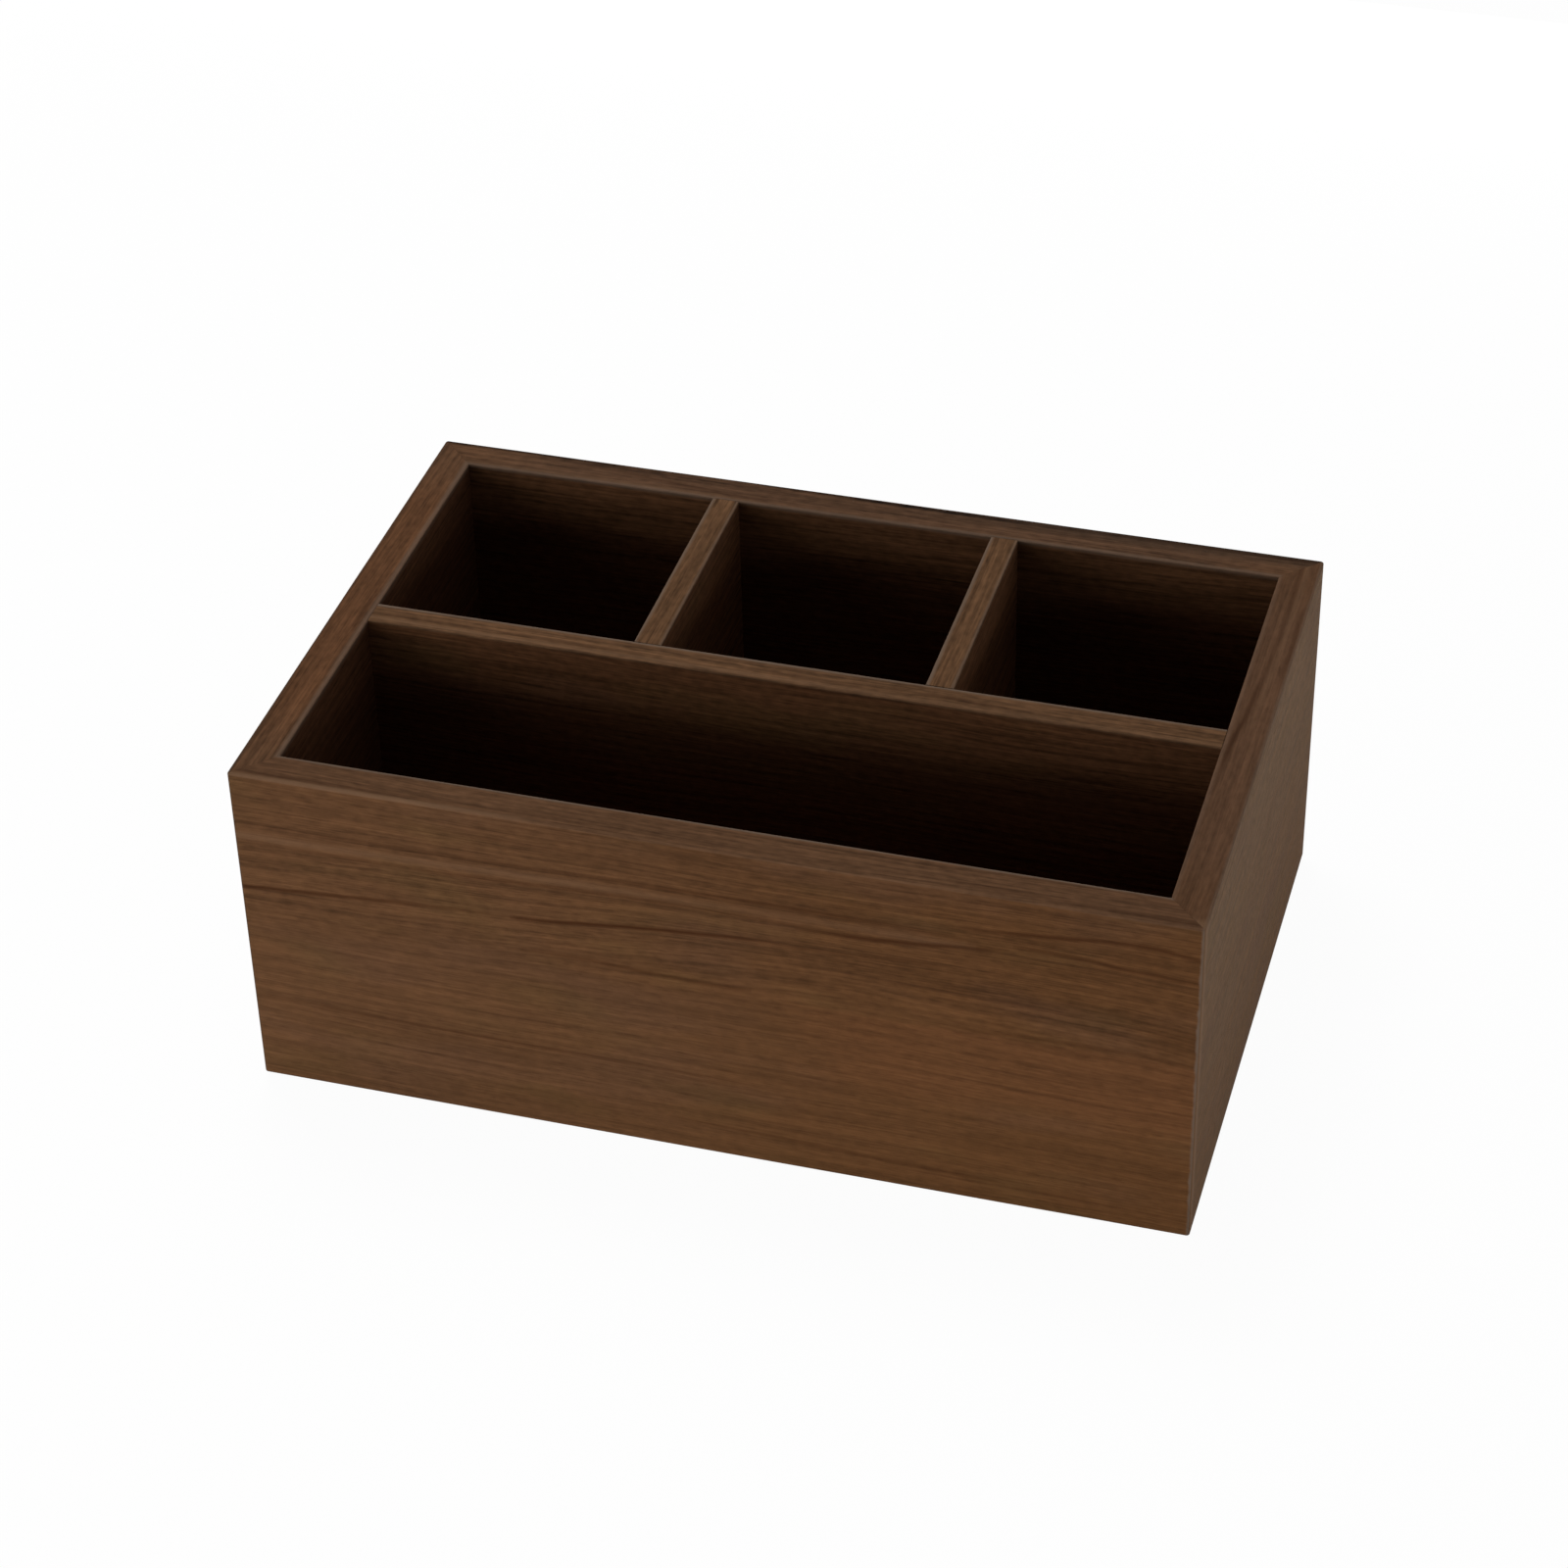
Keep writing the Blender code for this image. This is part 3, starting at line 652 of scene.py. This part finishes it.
def veneered_panel(name, thickness, seed):
    """Walnut veneer over plywood, whose plies show on the panel's edges."""
    graph = Graph(name)
    vector, x, y, z = graph.place()
    drift = graph.spread(graph.grain(vector, (0.16, 0.05, 0.05), seed, 1.0), 6 * MM)
    lane = graph.joined(x, graph.total(y, drift), z)
    band = graph.grain(lane, (0.30, 0.016, 0.02), seed + 1)
    streak = graph.grain(lane, (0.12, 0.0018, 0.01), seed + 2, 3.0, 0.6)
    fibre = graph.grain(lane, (0.020, 0.0004, 0.0004), seed + 3)
    pores = graph.step(graph.grain(vector, (0.005, 0.00025, 0.00025), seed + 4), 0.62, 0.74)
    tone = graph.total(1.0, graph.spread(band, 0.25), graph.spread(streak, 0.30), graph.spread(fibre, 0.18))
    veneer = graph.scaled(graph.mix(band, OUTSIDE_WALNUT, FRONT_WALNUT), tone)
    veneer = graph.mix(graph.product(pores, 0.45), veneer, VEIN_BROWN)
    depth = graph.math("SUBTRACT", thickness / 2, graph.math("ABSOLUTE", z))
    core = graph.step(depth, 0.55 * MM, 0.65 * MM)
    swing = graph.math("PINGPONG", graph.math("ADD", z, thickness / 2), PLY_THICKNESS)
    ply = graph.step(swing, 0.3 * MM, 0.4 * MM)
    plies = graph.scaled(graph.mix(ply, BIRCH_LIGHT, BIRCH_DARK), tone)
    paint = graph.mix(core, veneer, plies)
    roughness = graph.total(VENEER_ROUGHNESS, graph.spread(streak, STREAK_ROUGHNESS))
    roughness = graph.total(roughness, graph.product(pores, PORE_ROUGHNESS))
    relief = graph.total(graph.product(fibre, 0.4), graph.product(streak, 0.3))
    relief = graph.total(relief, graph.product(pores, PORE_DEPTH))
    return graph.finish(paint, roughness, relief, WOOD_RELIEF, VENEER_SPECULAR)


def birch(name, seed):
    """Raw birch, its fibres upright along the mitre."""
    graph = Graph(name)
    vector = graph.place()[0]
    fibre = graph.grain(vector, (0.0004, 0.0004, 0.018), seed, 3.0)
    cloud = graph.grain(vector, (0.004, 0.004, 0.03), seed + 1)
    flecks = graph.step(graph.grain(vector, (0.0003, 0.0003, 0.0025), seed + 2), 0.60, 0.72)
    light = graph.total(graph.product(fibre, 0.6), graph.product(cloud, 0.4))
    paint = graph.mix(light, BIRCH_DARK, BIRCH_LIGHT)
    paint = graph.mix(graph.product(flecks, 0.4), paint, BIRCH_DARK)
    roughness = graph.total(0.75, graph.spread(fibre, 0.1))
    relief = graph.total(fibre, graph.product(flecks, -0.5))
    return graph.finish(paint, roughness, relief, 0.04 * MM, specular=0.2)


def felt(name, seed):
    """Pressed wool felt, a dark tangle of fibres."""
    graph = Graph(name)
    vector, x, y, z = graph.place()
    bent = graph.grain(vector, (0.0016, 0.0016, 0.0016), seed, 2.0)
    swirl_x = graph.total(x, graph.spread(bent, 0.9 * MM))
    swirl_y = graph.total(y, graph.spread(bent, -0.7 * MM))
    swirl = graph.joined(swirl_x, swirl_y, z)
    hair = graph.grain(swirl, (0.0011, 0.00016, 0.00016), seed + 1, 3.0, 0.7)
    cross_hair = graph.grain(swirl, (0.00016, 0.0011, 0.00016), seed + 2, 3.0, 0.7)
    tangle = graph.math("MAXIMUM", hair, cross_hair)
    paint = graph.mix(graph.step(tangle, 0.45, 0.72), FELT_DARK, FELT_LIGHT)
    roughness = graph.total(0.92, graph.spread(hair, 0.06))
    return graph.finish(paint, roughness, tangle, 0.18 * MM, specular=0.2, sheen=0.2)


def easing_radius(nominal, along, half, edge):
    """The radius of an edge here, which wanders along the board but not at its ends."""
    inner = min(1.0, (half - abs(along)) / EASING_STEADY_END)
    spot = (along / EASING_WANDER_LENGTH, edge * EASING_NOISE_EDGE_STEP, half * EASING_NOISE_BOARD_STEP)
    swing = noise.noise(Vector(spot))
    return nominal * (1 + EASING_WANDER_SHARE * max(inner, 0.0) * swing)


def section(thickness, height, radii, groove):
    """A board's cross-section, y inwards from the outer face and z from mid-height, once round."""
    low = -height / 2
    high = height / 2
    corners = (
        (0.0, low, 1, 1, pi),
        (thickness, low, -1, 1, 1.5 * pi),
        (thickness, high, -1, -1, 0.0),
        (0.0, high, 1, -1, 0.5 * pi),
    )
    outline = []
    for index, (y, z, to_y, to_z, start) in enumerate(corners):
        radius = radii[index]
        centre_y = y + to_y * radius
        centre_z = z + to_z * radius
        reach = radius + GUARD_WIDTH
        guard = reach if 3 * reach < min(thickness, height) else 0
        arc = [start + k * pi / 2 / EASING_SEGMENTS for k in range(EASING_SEGMENTS + 1)]
        points = [(centre_y + radius * cos(a), centre_z + radius * sin(a)) for a in arc]
        if guard:
            along_z = (y, z + to_z * guard)
            along_y = (y + to_y * guard, z)
            upright_first = index % 2 == 0
            points.insert(0, along_z if upright_first else along_y)
            points.append(along_y if upright_first else along_z)
        outline += points
        if index == 1 and groove:
            floor, bottom, top = groove
            outline += [(thickness, bottom), (floor, bottom), (floor, top), (thickness, top)]
    return outline


def end_place(step, y, steady, half):
    """Where a line of the mitred end has got to after so many steps."""
    steps = END_STEPS + ARC_STEPS
    gap = JOINT_GAP * step / steps
    if y >= CORNER_RADIUS:
        return steady + (half - y - steady) * step / steps - gap, y
    if step <= END_STEPS:
        return steady + (half - CORNER_RADIUS - steady) * step / END_STEPS - gap, y
    angle = pi / 4 * (step - END_STEPS) / ARC_STEPS
    radius = CORNER_RADIUS - y
    return half - CORNER_RADIUS + radius * sin(angle) - gap, CORNER_RADIUS - radius * cos(angle)


def board_mesh(name, board, easings, groove=None):
    """A board swept along x from section to section, mitred or square at its ends."""
    thickness, height, half, mitred = board
    steady = half - thickness - END_ZONE if mitred else half
    spans = ceil(2 * steady / STATION_SPACING)
    places = [(steady * (2 * k / spans - 1), 0) for k in range(spans + 1)]
    if mitred:
        ends = range(1, END_STEPS + ARC_STEPS + 1)
        places = [(-1.0, -k) for k in reversed(ends)] + places + [(1.0, k) for k in ends]
    shape = bmesh.new()
    rings = []
    for place, end in places:
        along = place if end == 0 else half * place
        radii = [easing_radius(easing, along, half, edge) for edge, easing in enumerate(easings)]
        ring = []
        for y, z in section(thickness, height, radii, groove):
            x = place
            if end:
                x, y = end_place(abs(end), y, steady, half)
                x *= place
            ring.append(shape.verts.new((x, y, z)))
        rings.append(ring)
    for ring, after in zip(rings, rings[1:]):
        for k in range(len(ring)):
            shape.faces.new((ring[k - 1], ring[k], after[k], after[k - 1]))
    shape.faces.new(rings[0])
    shape.faces.new(rings[-1])
    bmesh.ops.recalc_face_normals(shape, faces=shape.faces)
    mesh = bpy.data.meshes.new(name)
    shape.to_mesh(mesh)
    shape.free()
    return mesh


def add_object(name, mesh, location=(0, 0, 0), turn=0.0):
    """Puts a mesh in the scene."""
    thing = bpy.data.objects.new(name, mesh)
    bpy.context.scene.collection.objects.link(thing)
    thing.location = location
    thing.rotation_euler = Euler((0, 0, turn))
    bpy.context.view_layer.update()
    return thing


def box_cutter(low, high, turn=0.0):
    """A box between two corners, turned about its own middle."""
    low = Vector(low)
    high = Vector(high)
    shape = bmesh.new()
    bmesh.ops.create_cube(shape, size=1)
    bmesh.ops.scale(shape, vec=high - low, verts=shape.verts)
    mesh = bpy.data.meshes.new("cutter")
    shape.to_mesh(mesh)
    shape.free()
    return add_object("cutter", mesh, (low + high) / 2, turn)


def combine(piece, others, operation):
    """Cuts boxes out of a piece, or joins them to it, for good."""
    for other in others:
        change = piece.modifiers.new("change", "BOOLEAN")
        change.solver = "EXACT"
        change.operation = operation
        change.object = other
        seen = piece.evaluated_get(bpy.context.evaluated_depsgraph_get())
        mesh = bpy.data.meshes.new_from_object(seen)
        old = piece.data
        piece.modifiers.clear()
        piece.data = mesh
        mesh.name = old.name
        bpy.data.meshes.remove(old)
        bpy.data.objects.remove(other, do_unlink=True)


def dress(piece, node, material):
    """Gives a piece its material, and puts it in its node's place."""
    piece.data.materials.clear()
    piece.data.materials.append(material)
    piece.data.shade_smooth()
    piece.data.set_sharp_from_angle(angle=SHARP_ANGLE)
    weigh = piece.modifiers.new("flat_faces", "WEIGHTED_NORMAL")
    weigh.keep_sharp = True
    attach(piece, "root")
    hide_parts(node)


def long_tongue(side, grow=0.0):
    """The stub tongue at one end of the long divider, -1 left and 1 right."""
    low, high = (Vector(corner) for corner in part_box("long_divider"))
    middle = (low.y + high.y) / 2
    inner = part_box("right_wall")[0][0]
    ends = sorted((side * (inner - TONGUE_ROOT), side * (high.x + grow)))
    return (
        (ends[0], middle - LONG_TONGUE_THICKNESS / 2 - grow, low.z + TONGUE_ABOVE_FOOT - grow),
        (ends[1], middle + LONG_TONGUE_THICKNESS / 2 + grow, high.z - TONGUE_BELOW_RIM + grow),
    )


def cross_tongue(node, side, grow=0.0):
    """The stub tongue at one end of a cross divider, -1 front and 1 back."""
    low, high = (Vector(corner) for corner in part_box(node))
    middle = (low.x + high.x) / 2
    if side > 0:
        ends = (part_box("back_wall")[0][1] - TONGUE_ROOT, high.y + grow)
    else:
        ends = (low.y - grow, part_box("long_divider")[1][1] + TONGUE_ROOT)
    return (
        (middle - CROSS_TONGUE_THICKNESS / 2 - grow, ends[0], low.z + TONGUE_ABOVE_FOOT - grow),
        (middle + CROSS_TONGUE_THICKNESS / 2 + grow, ends[1], high.z - TONGUE_BELOW_RIM + grow),
    )


def spline_slot(node, turn):
    """The slot for a spline, across the mitre."""
    low, high = (Vector(corner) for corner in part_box(node))
    centre = (low + high) / 2
    reach = Vector((SPLINE_LENGTH / 2 + FIT, SPLINE_THICKNESS / 2 + FIT, (high.z - low.z) / 2 + FIT))
    return box_cutter(centre - reach, centre + reach, turn)


def wall_looks(height):
    """What each wall's walnut looks like. The highlights and shade painted on its edges have a strength, a
    colour and a width.
    """
    return {
        "front": dict(
            seed=1.0,
            colour=FRONT_WALNUT,
            second=(FRONT_WALNUT_RIGHT, "x", -0.100, 0.110),
            inside=INSIDE_WALNUT,
            # painted light: darker at the top of the front wall, lighter towards its foot
            painted_light=FRONT_PAINTED_LIGHT,
            lines=FRONT_VEIN_SHARES,
            sapwood=FRONT_SAPWOOD_SHARES,
            rim=FRONT_RIM_TONES,
            rim_colour=FRONT_RIM,
            rim_contrast=1.85,
            rim_dark=FRONT_RIM_DARK,
            # the pale line is a painted highlight along the rim's outer edge
            rim_pale=FRONT_RIM_HIGHLIGHT,
            # Highlights, sheen and shade painted along the edges
            edges={
                "outer": (0.12, PAINTED_EDGE_HIGHLIGHT, 1.2 * MM),
                "inner": (0.95, PAINTED_EDGE_SHEEN, 1.6 * MM),
                "foot": (0.15, PAINTED_EDGE_SHADE, 1.2 * MM),
                "left": (0.45, PAINTED_EDGE_SHADE, 1.2 * MM),
                "right": (0.95, PAINTED_EDGE_SHEEN, 1.4 * MM),
            },
        ),
        "right": dict(
            seed=11.0,
            # painted light and sheen: paler and greyer at the top, turning to the foot's colour further down
            colour=SIDE_TOP_PAINTED_SHEEN,
            second=(SIDE_FOOT, "down", 0.0, height),
            inside=INSIDE_WALNUT,
            flecks=0.35,
            rim=RIGHT_RIM_TONES,
            rim_colour=SIDE_RIM,
            rim_contrast=1.35,
            rim_depth=0.80,
            rim_dark=RIGHT_RIM_DARK,
            rim_pale=RIGHT_RIM_PALE,
            # Highlights, sheen and shade painted along the edges
            edges={
                "outer": (0.35, PAINTED_EDGE_SHEEN, 1.2 * MM),
                "inner": (0.20, PAINTED_EDGE_SHEEN, 1.8 * MM),
                "foot": (0.30, PAINTED_EDGE_SHADE, 1.2 * MM),
                "left": (0.60, PALE_STREAK_AND_HIGHLIGHT, 6 * MM),
                "right": (0.40, PAINTED_EDGE_SHADE, 1.2 * MM),
            },
        ),
        "back": dict(
            seed=23.0,
            colour=OUTSIDE_WALNUT,
            inside=INSIDE_BACK,
            # tones with painted shade along the outer edge
            rim=BACK_RIM_TONES_AND_EDGE_SHADE,
            rim_colour=BACK_RIM,
            rim_contrast=2.3,
            rim_dark=BACK_RIM_DARK,
            rim_pale=BACK_RIM_PALE,
            rim_shade=(SHADED_RIM, -90 * MM, 30 * MM, 10 * MM),
            # Highlights and shade painted along the edges
            edges={
                "outer": (0.50, PAINTED_EDGE_SHADE, 1.2 * MM),
                "inner": (0.45, PAINTED_EDGE_SHEEN, 1.8 * MM),
                "foot": (0.20, PAINTED_EDGE_SHADE, 1.2 * MM),
                "left": (0.30, PAINTED_EDGE_HIGHLIGHT, 1.2 * MM),
                "right": (0.30, PAINTED_EDGE_HIGHLIGHT, 1.2 * MM),
            },
        ),
        "left": dict(
            seed=37.0,
            colour=OUTSIDE_WALNUT,
            inside=INSIDE_LEFT,
            rim=LEFT_RIM_TONES,
            rim_colour=LEFT_RIM,
            rim_contrast=2.1,
            # Highlights and shade painted along the edges
            edges={
                "outer": (0.60, PAINTED_EDGE_SHADE, 1.5 * MM),
                "inner": (0.50, PAINTED_EDGE_SHEEN, 2.4 * MM),
                "foot": (0.20, PAINTED_EDGE_SHADE, 1.2 * MM),
                "left": (0.30, PAINTED_EDGE_HIGHLIGHT, 1.2 * MM),
                "right": (0.55, PAINTED_EDGE_SHADE, 1.2 * MM),
            },
        ),
    }


def add_walls():
    """The four mitred walls, grooved for the panel, slotted for the splines and mortised for the dividers."""
    front_low, front_high = (Vector(corner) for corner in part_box("front_wall"))
    panel_low, panel_high = (Vector(corner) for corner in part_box("bottom_panel"))
    thickness = front_high.y - front_low.y
    height = front_high.z - front_low.z
    middle = (front_high.z + front_low.z) / 2
    half_length = Vector(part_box("right_wall")[1]).x
    half_depth = -front_low.y
    groove = (
        panel_low.y + half_depth - FIT,
        panel_low.z - middle - FIT,
        panel_high.z - middle + FIT,
    )
    long_board = (thickness, height, half_length, True)
    short_board = (thickness, height, half_depth, True)
    easings = (WALL_EASING,) * 4
    crosses = [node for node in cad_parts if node.startswith("cross_divider")]
    walls = (
        ("front", long_board, (0, -half_depth, middle), 0.0, []),
        ("right", short_board, (half_length, 0, middle), pi / 2, [long_tongue(1, FIT)]),
        ("back", long_board, (0, half_depth, middle), pi, [cross_tongue(node, 1, FIT) for node in crosses]),
        ("left", short_board, (-half_length, 0, middle), -pi / 2, [long_tongue(-1, FIT)]),
    )
    looks = wall_looks(height)
    for side, board, location, turn, mortises in walls:
        node = side + "_wall"
        wall = add_object(side + "_board", board_mesh(node, board, easings, groove), location, turn)
        slots = []
        for front in ("front", "back"):
            for end in ("left", "right"):
                if side in (front, end):
                    slot_turn = -pi / 4 if (front == "front") == (end == "left") else pi / 4
                    slots.append(spline_slot("_".join(("corner_spline", front, end)), slot_turn))
        combine(wall, slots + [box_cutter(*corners) for corners in mortises], "DIFFERENCE")
        dress(wall, node, walnut(node + "_walnut", board, looks[side]))


def add_dividers():
    """The long divider and the cross dividers, tongued at their ends."""
    low, high = (Vector(corner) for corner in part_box("long_divider"))
    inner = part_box("right_wall")[0][0]
    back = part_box("back_wall")[0][1]
    middle = (low.z + high.z) / 2
    easings = (PANEL_EASING, PANEL_EASING, DIVIDER_EASING, DIVIDER_EASING)
    board = (high.y - low.y, high.z - low.z, inner - JOINT_GAP, False)
    long_board = add_object("long_board", board_mesh("long_divider", board, easings), (0, low.y, middle))
    combine(long_board, [box_cutter(*long_tongue(side)) for side in (-1, 1)], "UNION")
    crosses = [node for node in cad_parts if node.startswith("cross_divider")]
    combine(long_board, [box_cutter(*cross_tongue(node, -1, FIT)) for node in crosses], "DIFFERENCE")
    look = dict(
        seed=51.0,
        colour=INSIDE_WALNUT,
        rim=LONG_RIM_TONES,
        rim_colour=DIVIDER_RIM,
        rim_contrast=2.6,
        rim_dark=LONG_RIM_DARK,
        rim_pale=LONG_RIM_PALE,
        # Highlights and shade painted along the divider's edges
        edges={"outer": (0.35, PAINTED_EDGE_SHADE, 0.9 * MM), "inner": (1.00, PAINTED_EDGE_SHEEN, 1.8 * MM)},
    )
    dress(long_board, "long_divider", walnut("long_divider_walnut", board, look))
    for count, node in enumerate(sorted(crosses)):
        cross_low, cross_high = (Vector(corner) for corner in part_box(node))
        half = (back - high.y) / 2 - JOINT_GAP
        board = (cross_high.x - cross_low.x, cross_high.z - cross_low.z, half, False)
        place = (cross_high.x, (back + high.y) / 2, middle)
        cross = add_object("cross_board_" + node[-1], board_mesh(node, board, easings), place, pi / 2)
        combine(cross, [box_cutter(*cross_tongue(node, side)) for side in (-1, 1)], "UNION")
        look = dict(
            seed=67.0 + 13 * count,
            # partly painted light: the faces lighter than the tops
            colour=CROSS_WALNUT_AND_PAINTED_LIGHT,
            rim=CROSS_RIM_TONES,
            rim_colour=DIVIDER_RIM,
            rim_contrast=2.4,
            # Highlights painted along the divider's edges
            edges={"outer": (0.45, PAINTED_EDGE_SHEEN, 1.4 * MM), "inner": (0.80, PAINTED_EDGE_SHEEN, 1.6 * MM)},
        )
        dress(cross, node, walnut(node + "_walnut", board, look))


def add_panel():
    """The bottom panel, its edges in the walls' grooves."""
    low, high = (Vector(corner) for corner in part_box("bottom_panel"))
    board = (high.y - low.y, high.z - low.z, high.x, False)
    mesh = board_mesh("bottom_panel", board, (PANEL_EASING,) * 4)
    panel = add_object("bottom_sheet", mesh, (0, low.y, (low.z + high.z) / 2))
    dress(panel, "bottom_panel", veneered_panel("panel_veneer", high.z - low.z, 91.0))


def add_pad(node, seed):
    """A felt disc, cut a little unevenly and rounded where it was pressed."""
    low, high = (Vector(corner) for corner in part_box(node))
    radius = (high.x - low.x) / 2
    centre = (low + high) / 2
    half = (high.z - low.z) / 2
    rows = []
    for angle in PAD_ROUNDING_ANGLES:
        rows.append((radius - PAD_ROUNDING * (1 - sin(angle)), -half + PAD_ROUNDING * (1 - cos(angle))))
    rows += [(across, -up) for across, up in reversed(rows)]
    inner = [(radius * share, -half) for share in PAD_INNER_SHARES]
    rows = inner + rows + [(across, -up) for across, up in reversed(inner)]
    shape = bmesh.new()
    rings = []
    for across, up in rows:
        ring = []
        for k in range(PAD_SIDES):
            angle = 2 * pi * k / PAD_SIDES
            way_x = cos(angle)
            way_y = sin(angle)
            spot = (PAD_RAGGED_SCALE * way_x, PAD_RAGGED_SCALE * way_y, seed)
            ragged = noise.noise(Vector(spot))
            spot = (PAD_FUZZ_SCALE * way_x, PAD_FUZZ_SCALE * way_y, seed + up * PAD_FUZZ_UP_SCALE)
            fuzz = noise.noise(Vector(spot))
            reach = across - PAD_WANDER * (PAD_CUT_BACK + PAD_RAGGEDNESS * ragged + PAD_FUZZ * fuzz)
            ring.append(shape.verts.new((reach * way_x, reach * way_y, up)))
        rings.append(ring)
    for ring, after in zip(rings, rings[1:]):
        for k in range(PAD_SIDES):
            shape.faces.new((ring[k - 1], ring[k], after[k], after[k - 1]))
    shape.faces.new(rings[0])
    shape.faces.new(rings[-1])
    bmesh.ops.recalc_face_normals(shape, faces=shape.faces)
    mesh = bpy.data.meshes.new(node)
    shape.to_mesh(mesh)
    shape.free()
    pad = add_object(node.replace("foot_pad", "felt_disc"), mesh, centre)
    dress(pad, node, felt(node + "_felt", seed))


def direction(bearing, elevation):
    """The way outwards at a bearing from the front, to the right, and an elevation."""
    return Vector((sin(bearing) * cos(elevation), -cos(bearing) * cos(elevation), sin(elevation)))


def add_camera():
    """The camera, at the photograph's viewing angle."""
    back = direction(CAMERA_AZIMUTH, CAMERA_ELEVATION)
    data = bpy.data.cameras.new("camera")
    data.lens = CAMERA_LENS
    data.sensor_width = SENSOR_WIDTH
    camera = bpy.data.objects.new("camera", data)
    bpy.context.scene.collection.objects.link(camera)
    turn = back.to_track_quat("Z", "Y").to_matrix().to_4x4() @ Matrix.Rotation(CAMERA_ROLL, 4, "Z")
    camera.matrix_world = Matrix.Translation(CAMERA_AIM + CAMERA_DISTANCE * back) @ turn
    bpy.context.scene.camera = camera


def add_lights():
    """Flat softboxes of even brightness that the camera doesn't see, low round the box and high above it."""
    for name, (bearing, elevation, distance, aim, width, height, radiance) in SOFTBOXES.items():
        data = bpy.data.lights.new(name, "AREA")
        data.shape = "RECTANGLE"
        data.size = width
        data.size_y = height
        data.energy = radiance * pi * width * height
        lamp = bpy.data.objects.new(name, data)
        bpy.context.scene.collection.objects.link(lamp)
        back = direction(radians(bearing), radians(elevation))
        lamp.location = Vector((0, 0, aim)) + distance * back
        lamp.rotation_euler = back.to_track_quat("Z", "Y").to_euler()
        lamp.visible_camera = False
        lamp.visible_glossy = False


def add_world():
    """White where the camera, a reflection or a see-through ray looks, and a little even light elsewhere."""
    world = bpy.data.worlds.new("studio")
    world.use_nodes = True
    tree = world.node_tree
    tree.nodes.clear()
    path = tree.nodes.new("ShaderNodeLightPath")
    share = path.outputs["Is Camera Ray"]
    for kind in ("Is Glossy Ray", "Is Transmission Ray"):
        either = tree.nodes.new("ShaderNodeMath")
        either.operation = "MAXIMUM"
        tree.links.new(share, either.inputs[0])
        tree.links.new(path.outputs[kind], either.inputs[1])
        share = either.outputs[0]
    level = tree.nodes.new("ShaderNodeMath")
    level.operation = "MULTIPLY_ADD"
    tree.links.new(share, level.inputs[0])
    level.inputs[1].default_value = 1 - ROOM_LIGHT
    level.inputs[2].default_value = ROOM_LIGHT
    glow = tree.nodes.new("ShaderNodeBackground")
    glow.inputs["Color"].default_value = (1, 1, 1, 1)
    tree.links.new(level.outputs[0], glow.inputs["Strength"])
    out = tree.nodes.new("ShaderNodeOutputWorld")
    tree.links.new(glow.outputs[0], out.inputs["Surface"])
    bpy.context.scene.world = world


def add_floor():
    """A plain white floor that keeps a faint shadow of the box."""
    half = FLOOR_SIZE / 2
    mesh = bpy.data.meshes.new("floor")
    corners = [(-half, -half, 0), (half, -half, 0), (half, half, 0), (-half, half, 0)]
    mesh.from_pydata(corners, [], [(0, 1, 2, 3)])
    floor = add_object("floor", mesh, (0, 0, CAD_LOW.z - FLOOR_DROP))
    graph = Graph("floor_white")
    path = graph.add("ShaderNodeLightPath").outputs
    seen = graph.math("MAXIMUM", path["Is Camera Ray"], path["Is Glossy Ray"])
    seen = graph.math("MAXIMUM", seen, path["Is Transmission Ray"])
    matt = graph.add("ShaderNodeBsdfDiffuse", {"Color": (*FLOOR_COLOUR, 1.0)})
    glow = graph.add("ShaderNodeEmission", {"Color": (1, 1, 1, 1), "Strength": 1.0})
    feeds = {0: graph.product(seen, FLOOR_GLOW), 1: matt.outputs[0], 2: glow.outputs[0]}
    blend = graph.add("ShaderNodeMixShader", feeds)
    graph.add("ShaderNodeOutputMaterial", {"Surface": blend.outputs[0]})
    mesh.materials.append(graph.material)


add_camera()
add_world()
add_floor()
add_lights()
add_walls()
add_dividers()
add_panel()
for count, pad_node in enumerate(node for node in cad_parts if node.startswith("foot_pad")):
    add_pad(pad_node, PAD_SEED + PAD_SEED_STEP * count)
for count, spline in enumerate(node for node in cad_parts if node.startswith("corner_spline")):
    spline_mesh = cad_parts[spline].data
    spline_mesh.materials.clear()
    spline_mesh.materials.append(birch(spline + "_birch", SPLINE_SEED + SPLINE_SEED_STEP * count))

bpy.context.scene.view_settings.view_transform = "Standard"
